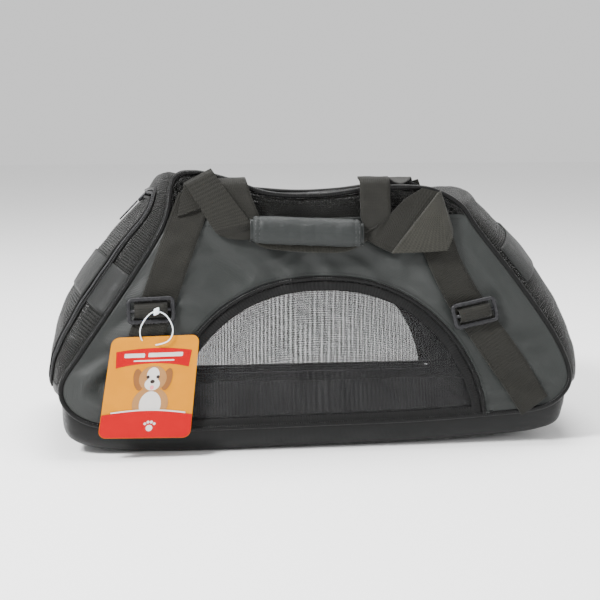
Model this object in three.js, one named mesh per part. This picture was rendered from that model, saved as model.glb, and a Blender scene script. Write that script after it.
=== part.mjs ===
// Soft-sided pet carrier: arched mesh windows, a zipped end door, a zipped roof flap and a wrapped grip.
// Millimetres. X runs along the length, the front faces -Y and Z is up. The origin is the middle of the
// base's underside. Fabric parts are plain closed solids of the right size and place.
import * as THREE from 'three';

// ---- overall size ----
const BASE_DEPTH = 250; // front seam to back seam at the base
const SEAM_Z = 26; // height of the bottom seam, which is also the depth of the base tray
const LEAN = 0.152; // how far each long face leans in, per millimetre of height
const BASE_STRAIGHT = 150; // half the straight part of the bottom seam
const CORNER_X = 205; // where the bottom corner starts
const CORNER_Z = 30;
const LOW_X = 235; // on the curve of the bottom corner
const LOW_Z = 45;
const WIDE_X = 245; // half the widest part of the long faces
const WIDE_Z = 66;
const FLANK_X = 213; // on the sloping flank
const FLANK_Z = 128;
const WAIST_X = 190;
const WAIST_Z = 162;
const SHOULDER_X = 154;
const SHOULDER_Z = 216;
const NECK_X = 139;
const NECK_Z = 240;
const CROWN_X = 120; // on the top corner
const CROWN_Z = 253;
const TOP_X = 92; // where the top edge starts
const TOP_Z = 256;
const TOP_MIDDLE_Z = 253; // the top edge sags a little

// ---- fabric, mesh and binding ----
const PANEL_TOP = 221; // upper edge of the fabric panels
const FABRIC = 2; // padded fabric panel
const MESH = 1; // mesh panels
const PIPING_R = 2.5; // corded piping
const SEAM_GAP = 3.2; // from the middle of a piping to the panels beside it
const WIRE_R = 1.5; // sprung frame wire
const WIRE_INSET = 8;
const WIRE_DEPTH = 4;
const END_BULGE = 24; // how far the ends swell at the bottom and top
const END_BELLY = 16; // and how much more at mid-height
const ROOF_SAG = 6;
const TRAY_EDGE = 0.12; // share of the half depth that is rounded at the tray's edge
const TRAY_THICK = 2.6;

// ---- arched windows ----
const ARCH_HALF = 155;
const ARCH_RISE = 132;
const ARCH_FOOT = 30; // height of the arch's feet
const ARCH_WIDE_POWER = 2.3;
const ARCH_TALL_POWER = 1.65;
const ARCH_PIPING_R = 2.3;
const ARCH_GAP = 3;
const BINDING_WIDE = 11;

// ---- webbing and its slides ----
const WEBBING = 32;
const WEBBING_THICK = 2;
const STRAP_GAP = 0.4; // from the panel to the strap sewn on it
const STRAP_FOOT_Z = 40;
const STRAP_HEAD_Z = 246;
const STRAP_KINK_Z = 222; // the straps bend here, at the panel's upper edge
const LEFT_FOOT_X = -188;
const LEFT_KINK_X = -122;
const LEFT_HEAD_X = WEBBING / 2 - 130; // the head's outer edge stays clear of the piping
const RIGHT_FOOT_X = 203;
const RIGHT_KINK_X = 116;
const RIGHT_HEAD_X = 126 - WEBBING / 2;
const GLIDE_WIDE = 46;
const GLIDE_TALL = 27;
const GLIDE_THICK = 3.2;
const GLIDE_BAR = 4;
const GLIDE_END = 6; // from the slide's end to its slots
const GLIDE_LIFT = 7.2; // from the panel's back to the slide's back
const GLIDE_ROUND = 5;
const LEFT_GLIDE_Z = 138;
const RIGHT_GLIDE_Z = 124;

// ---- grip and handles ----
const GRIP_X = -10;
const GRIP_LONG = 107;
const GRIP_Z = 206;
const GRIP_HEM = 1.5; // cloth past each edge of the webbing it wraps
const GRIP_TALL = WEBBING + 2 * GRIP_HEM;
const GRIP_THICK = 14;
const GRIP_ROUND = 6;
const GRIP_LIFT = 5.4; // from the panel's back to the grip's back
const GRIP_SLOT = 2.8;
const SLOT_EASE = 0.6; // from the strap's edge to the slot's, for the narrower handle webbing
const HANDLE_WIDE = WEBBING - 4; // the handle webbing is drawn in a little
const CROSSING_WIDE = WEBBING - 2;
const FLAP_THICK = 1.4;
const FLAP_INSET = 2; // from the grip's edges to its flap's
const FLAP_TALL = GRIP_TALL - 2 * FLAP_INSET;
const HANDLE_TOP_Z = 256;
const FRONT_ARM_LEFT_X = -118;
const FRONT_ARM_RIGHT_X = 108;
const BACK_ARM_LEFT_X = -72;
const BACK_ARM_RIGHT_X = 54;
const BACK_RUN_Z = 201;
const BACK_RUN_BEND = 22;
const CROSS_Z = 264; // webbing over the roof

// ---- hang tag ----
const TAG_WIDE = 84;
const TAG_TALL = 98;
const TAG_THICK = 0.8;
const TAG_ROUND = 7;
const TAG_TILT = 6; // degrees
const TAG_TOP = 9; // from the hole to the upper edge
const TAG_LIFT = 9.8;
const TAG_HOLE_R = 3.2;
const TAG_HOLE_Z = 105;
const LOOP_R = 0.7;
const LOOP_BACK = 5.9;
const LOOP_FRONT = 13.7;
const LOOP_X = -156.5;

// ---- end door, end bands and zips ----
const TRAY_TOP = 47; // where the base tray ends on the two ends
const DOOR_FOOT = 50;
const DOOR_HEAD = 226;
const DOOR_SHARE = 0.68; // half the door's width, as a share of the end's
const BORDER_SHARE = 0.77;
const ZIP_R = 1.8;
const ZIP_FOOT = 2; // from the door's foot to the zip's
const ZIP_CAP = 4.4; // from the door's head to the zip above it
const TOP_BORDER_GAP = 8.6; // from the door's head to the border above it
const PIECE_GAP = 0.4;
const ZIP_SHARE = 0.725;
const BAND_LOW = 150;
const BAND_HIGH = 182;
const BAND_THICK = 1.6;
const SLIDER_LONG = 11;
const SLIDER_WIDE = 8;
const SLIDER_THICK = 3;
const PULL_LONG = 26;
const PULL_WIDE = 6;
const PULL_THICK = 1.4;

// ---- roof ----
const FLAP_HALF = 92; // half the roof flap's length
const ROOF_FRONT_SHARE = 0.86;
const ROOF_HINGE_SHARE = 0.97;
const ROOF_ZIP_X = 96;
const ROOF_BORDER_SHARE = 0.93;
const ROOF_SLIDER_X = -8;
const SLIDER_LIFT = 4.4;
const ROOF_BORDER_X = 100;

// ---- loose base parts ----
const BOARD_LONG = 360;
const BOARD_DEEP = 196;
const BOARD_THICK = 3;
const BOARD_Z = 3.4;
const MAT_LONG = 396;
const MAT_DEEP = 206;
const MAT_THICK = 14;
const MAT_Z = 7.4;
const MAT_ROUND = 30;

const SIN = LEAN / Math.hypot(1, LEAN);
const COS = 1 / Math.hypot(1, LEAN);

const MATERIALS = {
  panel: { color: 0x4a5458, roughness: 0.85, metalness: 0 },
  mesh: { color: 0x24272a, roughness: 0.9, metalness: 0 },
  binding: { color: 0x1b1c1e, roughness: 0.75, metalness: 0 },
  webbing: { color: 0x55524f, roughness: 0.8, metalness: 0 },
  grip: { color: 0x5b6872, roughness: 0.85, metalness: 0 },
  plastic: { color: 0x101112, roughness: 0.3, metalness: 0 },
  steel: { color: 0x9a9da0, roughness: 0.35, metalness: 1 },
  zip: { color: 0x202224, roughness: 0.5, metalness: 0 },
  board: { color: 0x303234, roughness: 0.7, metalness: 0 },
  fleece: { color: 0x8f8a82, roughness: 1, metalness: 0 },
  tag: { color: 0xe0a32c, roughness: 0.4, metalness: 0 },
  loop: { color: 0xe9e9e4, roughness: 0.4, metalness: 0 },
};

const group = new THREE.Group();
group.name = 'pet_transport_carrier';

function add(name, geometry, look) {
  const mesh = new THREE.Mesh(geometry, new THREE.MeshStandardMaterial(MATERIALS[look]));
  mesh.name = name;
  group.add(mesh);
  return mesh;
}

// ---- the seam line round a long face ----
function seamPoints() {
  const right = [
    [BASE_STRAIGHT, SEAM_Z],
    [CORNER_X, CORNER_Z],
    [LOW_X, LOW_Z],
    [WIDE_X, WIDE_Z],
    [FLANK_X, FLANK_Z],
    [WAIST_X, WAIST_Z],
    [SHOULDER_X, SHOULDER_Z],
    [NECK_X, NECK_Z],
    [CROWN_X, CROWN_Z],
    [TOP_X, TOP_Z],
  ];
  const list = [[0, SEAM_Z]];
  list.push([BASE_STRAIGHT / 2, SEAM_Z]);
  list.push(...right);
  list.push([0, TOP_MIDDLE_Z]);
  for (let i = right.length - 1; i >= 0; i -= 1) {
    list.push([-right[i][0], right[i][1]]);
  }
  list.push([-BASE_STRAIGHT / 2, SEAM_Z]);
  return list.map(([x, z]) => new THREE.Vector3(x, 0, z));
}

const SEAM = new THREE.CatmullRomCurve3(seamPoints(), true, 'centripetal');
SEAM.arcLengthDivisions = 1200;

function seam(s) {
  const at = ((s % 1) + 1) % 1;
  const p = SEAM.getPointAt(at);
  const t = SEAM.getTangentAt(at);
  const long = Math.hypot(t.x, t.z);
  return { x: p.x, z: Math.max(p.z, SEAM_Z), nx: t.z / long, nz: -t.x / long };
}

// The place along the seam, on the right flank, at a height; the left flank's is one minus it.
function flankAt(z) {
  let low = 0.2;
  let high = 0.2;
  while (seam(low).z > z || seam(low).nx < 0.4) {
    low -= 0.004;
  }
  while (seam(high).z < z) {
    high += 0.004;
  }
  for (let i = 0; i < 40; i += 1) {
    const middle = (low + high) / 2;
    if (seam(middle).z < z) {
      low = middle;
    } else {
      high = middle;
    }
  }
  return (low + high) / 2;
}

// The place along the top of the seam at an x.
function topAt(x) {
  let low = 0.36;
  let high = 0.64;
  for (let i = 0; i < 40; i += 1) {
    const middle = (low + high) / 2;
    if (seam(middle).x > x) {
      low = middle;
    } else {
      high = middle;
    }
  }
  return (low + high) / 2;
}

function seamSpan(from, to, count, inset) {
  const list = [];
  for (let i = 0; i <= count; i += 1) {
    const p = seam(from + ((to - from) * i) / count);
    list.push(new THREE.Vector2(p.x - p.nx * inset, p.z - p.nz * inset));
  }
  return list;
}

function halfDepth(z) {
  return BASE_DEPTH / 2 - LEAN * (z - SEAM_Z);
}

// ---- mappings ----
// A place on a long face: x and z in its plane, d outward from it. side 1 is the front, -1 the back.
function onFace(x, z, d, side) {
  const y = -halfDepth(z) - d * COS;
  return [side * x, side * y, z + d * SIN];
}

function reshape(geometry, map) {
  const at = geometry.attributes.position;
  for (let i = 0; i < at.count; i += 1) {
    const [x, y, z] = map(at.getX(i), at.getY(i), at.getZ(i), i);
    at.setXYZ(i, x, y, z);
  }
  geometry.deleteAttribute('uv');
  geometry.deleteAttribute('normal');
  geometry.computeVertexNormals();
  return geometry;
}

function facePiece(shape, d0, d1, side, steps = 8) {
  const geometry = new THREE.ExtrudeGeometry(shape, { depth: 1, bevelEnabled: false, curveSegments: steps });
  return reshape(geometry, (x, z, w) => onFace(x, z, d0 + (d1 - d0) * w, side));
}

// A strip of the soft body between the two long faces, bulging out from the seam line.
function smooth(v) {
  const c = Math.min(Math.max(v, 0), 1);
  return c * c * (3 - 2 * c);
}

function bulge(p) {
  const base = smooth(-p.nz * 1.15 - 0.1);
  const roof = smooth((p.nz - 0.62) / 0.36);
  const share = Math.min(Math.max((p.z - 55) / 200, 0), 1);
  const end = END_BULGE * (1 - 0.35 * share) + END_BELLY * Math.sin(Math.PI * share);
  return (end * (1 - base) + SEAM_Z * base) * (1 - roof) - ROOF_SAG * roof;
}

function edgeShare(p) {
  const base = smooth(-p.nz * 1.15 - 0.1);
  return 1 + (TRAY_EDGE - 1) * base;
}

function onBody(s, t, d) {
  const p = seam(s);
  const edge = edgeShare(p);
  const roof = smooth((p.nz - 0.62) / 0.36);
  const along = Math.max(Math.abs(t) - (1 - edge), 0) / edge;
  const round = Math.sqrt(Math.max(1 - along * along, 0));
  const rise = round * (1 - roof) + (1 - along * along) * roof;
  const out = bulge(p) * rise + d * (roof + (1 - roof) * Math.max(round, 0.5));
  const y = t * (halfDepth(p.z) - SEAM_GAP + d * (1 - roof));
  return [p.x + p.nx * out, y, p.z + p.nz * out];
}

function spread(from, to, count) {
  const list = [];
  for (let i = 0; i <= count; i += 1) {
    list.push(from + ((to - from) * i) / count);
  }
  return list;
}

// Even steps round a half ellipse, so the steep edges get their share of rows.
function rounded(from, to, count) {
  const a = Math.asin(from);
  const b = Math.asin(to);
  return spread(a, b, count).map((v) => Math.sin(v));
}

function bodyPiece(along, across, d0, d1) {
  const nt = across.length - 1;
  const ns = along.length - 1;
  const geometry = new THREE.BoxGeometry(1, 1, 1, nt, ns, 1);
  return reshape(geometry, (x, y, z) => {
    const t = across[Math.round((x + 0.5) * nt)];
    const s = along[Math.round((y + 0.5) * ns)];
    return onBody(s, t, z > 0 ? d1 : d0);
  });
}

// A closed cord round a loop: place(i / count) gives its middle, its outward side and its other side.
function closedCord(place, radius, count, sides) {
  const geometry = new THREE.TorusGeometry(1, 0.2, sides, count);
  return reshape(geometry, (x, y, z, i) => {
    const along = i % (count + 1);
    const round = Math.floor(i / (count + 1)) % sides;
    const a = (2 * Math.PI * round) / sides;
    const { c, n, b } = place((along % count) / count);
    const across = radius * Math.cos(a);
    const up = radius * Math.sin(a);
    return c.map((v, k) => v + n[k] * across + b[k] * up);
  });
}

function disc(radius, sides) {
  const shape = new THREE.Shape();
  for (let i = 0; i < sides; i += 1) {
    const a = (2 * Math.PI * i) / sides;
    if (i === 0) {
      shape.moveTo(radius * Math.cos(a), radius * Math.sin(a));
    } else {
      shape.lineTo(radius * Math.cos(a), radius * Math.sin(a));
    }
  }
  shape.closePath();
  return shape;
}

function openCord(points, radius, count, sides) {
  const path = new THREE.CatmullRomCurve3(points.map((p) => new THREE.Vector3(...p)), false, 'centripetal');
  const options = { extrudePath: path, steps: count, bevelEnabled: false };
  const geometry = new THREE.ExtrudeGeometry(disc(radius, sides), options);
  geometry.deleteAttribute('uv');
  return geometry;
}

// Flat webbing: route gives the middle line, side its width direction and normal at each step.
function webbing(route, width, thick) {
  const count = route.length - 1;
  const geometry = new THREE.BoxGeometry(1, 1, 1, count, 1, 1);
  return reshape(geometry, (x, y, z) => {
    const { c, w, n } = route[Math.round((x + 0.5) * count)];
    return [0, 1, 2].map((k) => c[k] + w[k] * y * width + n[k] * z * thick);
  });
}

function roundedBox(wide, tall, round) {
  const shape = new THREE.Shape();
  const x = wide / 2;
  const y = tall / 2;
  shape.moveTo(-x + round, -y);
  shape.lineTo(x - round, -y);
  shape.absarc(x - round, -y + round, round, -Math.PI / 2, 0, false);
  shape.lineTo(x, y - round);
  shape.absarc(x - round, y - round, round, 0, Math.PI / 2, false);
  shape.lineTo(-x + round, y);
  shape.absarc(-x + round, y - round, round, Math.PI / 2, Math.PI, false);
  shape.lineTo(-x, -y + round);
  shape.absarc(-x + round, -y + round, round, Math.PI, 1.5 * Math.PI, false);
  return shape;
}

// ---- long faces ----
function archPoint(angle, grow) {
  const run = Math.cos(angle);
  const x = (ARCH_HALF + grow) * Math.sign(run) * Math.abs(run) ** (2 / ARCH_WIDE_POWER);
  const z = (ARCH_RISE + grow) * Math.max(Math.sin(angle), 0) ** (2 / ARCH_TALL_POWER);
  return new THREE.Vector2(x, ARCH_FOOT + z);
}

// Round the arch from the left foot to the right foot.
function archSpan(grow, count) {
  return spread(Math.PI, 0, count).map((a) => archPoint(a, grow));
}

function addPanel(name, side) {
  const reach = flankAt(PANEL_TOP);
  const clear = (p) => p.y > ARCH_FOOT + 40 || Math.abs(p.x) > ARCH_HALF + ARCH_GAP + 3;
  const left = seamSpan(1 - reach, 1, 34, SEAM_GAP).filter(clear);
  const right = seamSpan(0, reach, 34, SEAM_GAP).filter(clear);
  const arch = archSpan(ARCH_GAP, 40).map((p) => new THREE.Vector2(p.x, Math.max(p.y, SEAM_Z + SEAM_GAP)));
  const shape = new THREE.Shape([...left, ...arch, ...right]);
  add(`${name}_panel`, facePiece(shape, 0, FABRIC, side), 'panel');
}

function addTopMesh(name, side) {
  const reach = flankAt(PANEL_TOP + 1);
  const shape = new THREE.Shape(seamSpan(reach, 1 - reach, 30, SEAM_GAP));
  add(`${name}_top_mesh`, facePiece(shape, 0, MESH, side), 'mesh');
}

function addWindow(name, side) {
  const inner = archSpan(-ARCH_GAP, 40);
  add(`${name}_window_mesh`, facePiece(new THREE.Shape([...inner].reverse()), 0, MESH, side), 'mesh');
  const outside = archSpan(-ARCH_GAP - 0.6, 36);
  const inside = archSpan(-ARCH_GAP - 0.6 - BINDING_WIDE, 36).reverse();
  const ring = new THREE.Shape([...outside, ...inside].reverse());
  const d = MESH + 0.4;
  add(`${name}_window_binding`, facePiece(ring, d, d + 0.8, side), 'binding');
  const route = archSpan(0, 30).map((p) => onFace(p.x, p.y, 1, side));
  add(`${name}_window_piping`, openCord(route, ARCH_PIPING_R, 60, 7), 'binding');
}

function seamLoop(inset, depth, side) {
  return (v) => {
    const p = seam(v);
    const c = onFace(p.x - p.nx * inset, p.z - p.nz * inset, depth, side);
    return { c, n: [side * p.nx, 0, p.nz], b: [0, -side, 0] };
  };
}

function addRim(name, side) {
  add(`${name}_edge_piping`, closedCord(seamLoop(0, 0, side), PIPING_R, 96, 8), 'binding');
  add(`${name}_frame_wire`, closedCord(seamLoop(WIRE_INSET, -WIRE_DEPTH, side), WIRE_R, 80, 6), 'steel');
}

// ---- straps with their slides ----
function strapRoute(foot, kink, head) {
  return [[foot, STRAP_FOOT_Z], [kink, STRAP_KINK_Z], [head, STRAP_HEAD_Z]];
}

function addStrap(name, foot, kink, head, side) {
  const [a, b, c] = strapRoute(foot, kink, head);
  const half = WEBBING / 2;
  const list = [];
  for (const [x, z] of [a, b, c]) {
    list.push(new THREE.Vector2(x - half, z));
  }
  for (const [x, z] of [c, b, a]) {
    list.push(new THREE.Vector2(x + half, z));
  }
  const d = FABRIC + STRAP_GAP;
  add(name, facePiece(new THREE.Shape(list.reverse()), d, d + WEBBING_THICK, side), 'webbing');
}

function glidePlace(foot, kink, z) {
  const share = (z - STRAP_FOOT_Z) / (STRAP_KINK_Z - STRAP_FOOT_Z);
  const turn = Math.atan2(-(kink - foot), STRAP_KINK_Z - STRAP_FOOT_Z);
  return { x: foot + (kink - foot) * share, z, turn };
}

function addGlide(name, place, side) {
  const shape = roundedBox(GLIDE_WIDE, GLIDE_TALL, GLIDE_ROUND);
  const slot = (GLIDE_TALL - 3 * GLIDE_BAR) / 2;
  for (const k of [-1, 1]) {
    const hole = new THREE.Path();
    const x = GLIDE_WIDE / 2 - GLIDE_END;
    const y = (k * (slot + GLIDE_BAR)) / 2;
    hole.moveTo(-x, y - slot / 2);
    hole.lineTo(-x, y + slot / 2);
    hole.lineTo(x, y + slot / 2);
    hole.lineTo(x, y - slot / 2);
    hole.closePath();
    shape.holes.push(hole);
  }
  const options = { depth: 1, bevelEnabled: false, curveSegments: 4 };
  const geometry = new THREE.ExtrudeGeometry(shape, options);
  const c = Math.cos(place.turn);
  const s = Math.sin(place.turn);
  const map = (x, y, w) => {
    const d = GLIDE_LIFT + GLIDE_THICK * w;
    return onFace(place.x + c * x - s * y, place.z + s * x + c * y, d, side);
  };
  add(name, reshape(geometry, map), 'plastic');
}

// ---- grip and the handles it joins ----
function addGrip() {
  const shape = roundedBox(GRIP_TALL, GRIP_THICK, GRIP_ROUND);
  const hole = new THREE.Path();
  const x = WEBBING / 2 - SLOT_EASE;
  const y = GRIP_SLOT / 2;
  hole.moveTo(-x, -y);
  hole.lineTo(-x, y);
  hole.lineTo(x, y);
  hole.lineTo(x, -y);
  hole.closePath();
  shape.holes.push(hole);
  const options = { depth: GRIP_LONG, bevelEnabled: false, curveSegments: 5 };
  const geometry = new THREE.ExtrudeGeometry(shape, options);
  const middle = GRIP_LIFT + GRIP_THICK / 2;
  const start = GRIP_X - GRIP_LONG / 2;
  add('grip_wrap', reshape(geometry, (a, b, w) => onFace(start + w, GRIP_Z + a, middle + b, 1)), 'grip');
  const flap = roundedBox(GRIP_LONG - 2, FLAP_TALL, 3);
  const d = GRIP_LIFT + GRIP_THICK + 0.4;
  const cover = new THREE.ExtrudeGeometry(flap, { depth: 1, bevelEnabled: false, curveSegments: 3 });
  const place = (a, b, w) => onFace(GRIP_X + a, GRIP_Z + 1 + b, d + FLAP_THICK * w, 1);
  add('grip_flap', reshape(cover, place), 'grip');
}

// Webbing lying along the front face: points are x, z and d.
function faceRoute(points, count) {
  const path = new THREE.CatmullRomCurve3(points.map((p) => new THREE.Vector3(...p)), false, 'centripetal');
  return spread(0, 1, count).map((v) => {
    const p = path.getPointAt(v);
    const t = path.getTangentAt(v);
    const long = Math.hypot(t.x, t.y);
    const w = [-t.y / long, t.x / long];
    const c = onFace(p.x, p.y, p.z, 1);
    const side = onFace(p.x + w[0], p.y + w[1], p.z, 1);
    return { c, w: side.map((v1, k) => v1 - c[k]), n: [0, -COS, SIN] };
  });
}

function addFrontHandle() {
  const near = GRIP_LIFT + GRIP_THICK / 2;
  const far = GRIP_LIFT + 1.2;
  const left = GRIP_X - GRIP_LONG / 2;
  const right = GRIP_X + GRIP_LONG / 2;
  const points = [
    [FRONT_ARM_LEFT_X, HANDLE_TOP_Z, far],
    [FRONT_ARM_LEFT_X + 22, HANDLE_TOP_Z - 22, far + 1.5],
    [left - 22, GRIP_Z + 9, near - 1],
    [left - 5, GRIP_Z, near],
    [left + 10, GRIP_Z, near],
    [GRIP_X, GRIP_Z, near],
    [right - 10, GRIP_Z, near],
    [right + 5, GRIP_Z, near],
    [right + 22, GRIP_Z + 9, near - 1],
    [FRONT_ARM_RIGHT_X - 16, HANDLE_TOP_Z - 22, far + 1.5],
    [FRONT_ARM_RIGHT_X, HANDLE_TOP_Z, far],
  ];
  const route = faceRoute(points, 48);
  add('front_handle_webbing', webbing(route, HANDLE_WIDE, WEBBING_THICK), 'webbing');
}

function addBackHandle() {
  const d = FABRIC + 1.6;
  const bend = BACK_RUN_BEND;
  const low = BACK_RUN_Z;
  const turn = bend * (1 - Math.SQRT1_2);
  const points = [
    [BACK_ARM_LEFT_X, HANDLE_TOP_Z, d],
    [BACK_ARM_LEFT_X, low + bend, d],
    [BACK_ARM_LEFT_X + turn, low + turn, d],
    [BACK_ARM_LEFT_X + bend, low, d],
    [BACK_ARM_RIGHT_X - bend, low, d],
    [BACK_ARM_RIGHT_X - turn, low + turn, d],
    [BACK_ARM_RIGHT_X, low + bend, d],
    [BACK_ARM_RIGHT_X, HANDLE_TOP_Z, d],
  ];
  const route = faceRoute(points, 44);
  add('back_handle_webbing', webbing(route, HANDLE_WIDE, WEBBING_THICK), 'webbing');
}

function addCrossing(name, backX, frontX) {
  const y0 = halfDepth(HANDLE_TOP_Z) + FABRIC + 1.4;
  const line = [
    [y0 + 2.4, STRAP_HEAD_Z + 4],
    [y0 + 1.4, CROSS_Z - 6],
    [y0 - 2, CROSS_Z - 1.6],
    [y0 - 7, CROSS_Z - 0.4],
    [y0 - 14, CROSS_Z],
    [y0 - 50, CROSS_Z - 1],
    [0, CROSS_Z - 2],
    [-y0 + 50, CROSS_Z - 1],
    [-y0 + 14, CROSS_Z],
    [-y0 + 7, CROSS_Z],
  ];
  const route = line.map(([y, z], i) => {
    const a = line[Math.max(i - 1, 0)];
    const b = line[Math.min(i + 1, line.length - 1)];
    const long = Math.hypot(b[0] - a[0], b[1] - a[1]);
    const share = (line[0][0] - y) / (line[0][0] - line[line.length - 1][0]);
    const c = [backX + (frontX - backX) * share, y, z];
    return { c, w: [1, 0, 0], n: [0, (b[1] - a[1]) / long, -(b[0] - a[0]) / long] };
  });
  add(name, webbing(route, CROSSING_WIDE, WEBBING_THICK), 'webbing');
}

// ---- hang tag on its loop ----
function addTag() {
  const shape = roundedBox(TAG_WIDE, TAG_TALL, TAG_ROUND);
  const hole = new THREE.Path();
  const up = TAG_TALL / 2 - TAG_TOP;
  hole.absarc(0, up, TAG_HOLE_R, 0, 2 * Math.PI, true);
  shape.holes.push(hole);
  const geometry = new THREE.ExtrudeGeometry(shape, { depth: 1, bevelEnabled: false, curveSegments: 8 });
  const turn = (-TAG_TILT * Math.PI) / 180;
  const c = Math.cos(turn);
  const s = Math.sin(turn);
  const map = (x, y, w) => {
    const z = y - up;
    return onFace(LOOP_X + c * x - s * z, TAG_HOLE_Z + s * x + c * z, TAG_LIFT + TAG_THICK * (w - 0.5), 1);
  };
  add('hang_tag', reshape(geometry, map), 'tag');
}

function addLoop() {
  const top = LEFT_GLIDE_Z - 5;
  const low = TAG_HOLE_Z - 1;
  const points = [
    [LOOP_BACK, low + 4],
    [LOOP_BACK, (top + low) / 2],
    [LOOP_BACK, top - 3],
    [TAG_LIFT, top],
    [LOOP_FRONT, top - 3],
    [LOOP_FRONT, (top + low) / 2],
    [LOOP_FRONT, low + 4],
    [TAG_LIFT, low],
  ];
  const ring = points.map(([d, z]) => new THREE.Vector3(d, z, 0));
  const path = new THREE.CatmullRomCurve3(ring, true, 'centripetal');
  const place = (v) => {
    const p = path.getPointAt(v);
    const t = path.getTangentAt(v);
    const a = onFace(LOOP_X, p.y, p.x, 1);
    const b = onFace(LOOP_X, p.y - t.x, p.x + t.y, 1);
    return { c: a, n: b.map((q, k) => q - a[k]), b: [-1, 0, 0] };
  };
  add('tag_loop', closedCord(place, LOOP_R, 40, 6), 'loop');
}

// ---- base ----
function addBase() {
  const end = flankAt(TRAY_TOP);
  const steep = [1, 0.985, 0.96, 0.93, 0.9, 0.86];
  const across = [...steep.map((t) => -t), -0.5, 0, 0.5, ...[...steep].reverse()];
  const along = [...spread(-end, -0.09, 14), ...spread(-0.05, 0.05, 2), ...spread(0.09, end, 14)];
  add('base_panel', bodyPiece(along, across, -TRAY_THICK, 0), 'panel');
  const board = new THREE.ExtrudeGeometry(roundedBox(BOARD_LONG, BOARD_DEEP, 12), {
    depth: BOARD_THICK,
    bevelEnabled: false,
    curveSegments: 5,
  });
  add('base_board', reshape(board, (x, y, z) => [x, y, BOARD_Z + z]), 'board');
  const mat = new THREE.ExtrudeGeometry(roundedBox(MAT_LONG, MAT_DEEP, MAT_ROUND), {
    depth: MAT_THICK,
    bevelEnabled: false,
    curveSegments: 6,
  });
  add('fleece_mat', reshape(mat, (x, y, z) => [x, y, MAT_Z + z]), 'fleece');
}

// ---- ends: the left end is a zipped door, the right end is closed ----
function addZipParts(prefix, place) {
  const slider = new THREE.BoxGeometry(SLIDER_LONG, SLIDER_WIDE, SLIDER_THICK);
  add(`${prefix}_slider`, reshape(slider, (x, y, z) => place(x, y, z)), 'steel');
  const pull = new THREE.ExtrudeGeometry(roundedBox(PULL_LONG, PULL_WIDE, 2.6), {
    depth: PULL_THICK,
    bevelEnabled: false,
    curveSegments: 4,
  });
  const start = SLIDER_LONG / 2 + 0.5;
  const lift = SLIDER_THICK / 2 - PULL_THICK;
  add(`${prefix}_pull`, reshape(pull, (x, y, z) => place(x + PULL_LONG / 2 + start, y, z + lift)), 'steel');
}

function addLeftEnd() {
  const low = 1 - flankAt(DOOR_FOOT);
  const high = 1 - flankAt(DOOR_HEAD);
  const door = bodyPiece(spread(high, low, 14), rounded(-DOOR_SHARE, DOOR_SHARE, 8), -MESH, 0);
  add('left_door', door, 'mesh');
  const bandLow = 1 - flankAt(BAND_LOW);
  const bandHigh = 1 - flankAt(BAND_HIGH);
  const wide = DOOR_SHARE - 0.01;
  const bandRows = spread(bandHigh, bandLow, 4);
  const bandBack = PIECE_GAP;
  const band = bodyPiece(bandRows, rounded(-wide, wide, 8), bandBack, bandBack + BAND_THICK);
  add('left_door_band', band, 'panel');
  const top = topAt(-ROOF_BORDER_X - PIECE_GAP);
  const rows = spread(top + 0.001, 1 - flankAt(DOOR_FOOT - 1), 20);
  add('left_front_border', bodyPiece(rows, rounded(-1, -BORDER_SHARE, 4), -MESH, 0), 'mesh');
  add('left_back_border', bodyPiece(rows, rounded(BORDER_SHARE, 1, 4), -MESH, 0), 'mesh');
  const over = spread(top + 0.001, 1 - flankAt(DOOR_HEAD + TOP_BORDER_GAP), 6);
  const t = BORDER_SHARE - 0.01;
  add('left_top_border', bodyPiece(over, rounded(-t, t, 8), -MESH, 0), 'mesh');
  const middle = -MESH / 2;
  const zip = [];
  const foot = 1 - flankAt(DOOR_FOOT + ZIP_FOOT);
  const head = 1 - flankAt(DOOR_HEAD - 4);
  const cap = 1 - flankAt(DOOR_HEAD + ZIP_CAP);
  for (const s of spread(foot, head, 8)) {
    zip.push(onBody(s, -ZIP_SHARE, middle));
  }
  for (const u of rounded(-0.65, 0.65, 6)) {
    zip.push(onBody(cap, u, middle));
  }
  for (const s of spread(head, foot, 8)) {
    zip.push(onBody(s, ZIP_SHARE, middle));
  }
  add('door_zip', openCord(zip, ZIP_R, 80, 6), 'zip');
  const at = onBody(1 - flankAt(DOOR_HEAD - 1), -0.2, 0);
  const below = onBody(1 - flankAt(DOOR_HEAD - 31), -0.2, 0);
  const long = Math.hypot(below[0] - at[0], below[2] - at[2]);
  const ux = (below[0] - at[0]) / long;
  const uz = (below[2] - at[2]) / long;
  const lift = 5.2;
  // x runs down the door, y across it and z out of it
  const place = (x, y, z) => {
    const out = z + lift;
    return [at[0] + ux * x + uz * out, at[1] - y, at[2] + uz * x - ux * out];
  };
  addZipParts('door', place);
}

function addRightEnd() {
  const rows = spread(flankAt(DOOR_FOOT), topAt(ROOF_BORDER_X + PIECE_GAP) - 0.001, 20);
  add('right_end_mesh', bodyPiece(rows, rounded(-1, 1, 12), -MESH, 0), 'mesh');
  const band = spread(flankAt(BAND_LOW), flankAt(BAND_HIGH), 4);
  const across = rounded(-0.95, 0.95, 10);
  add('right_end_band', bodyPiece(band, across, PIECE_GAP, PIECE_GAP + BAND_THICK), 'panel');
}

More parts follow.
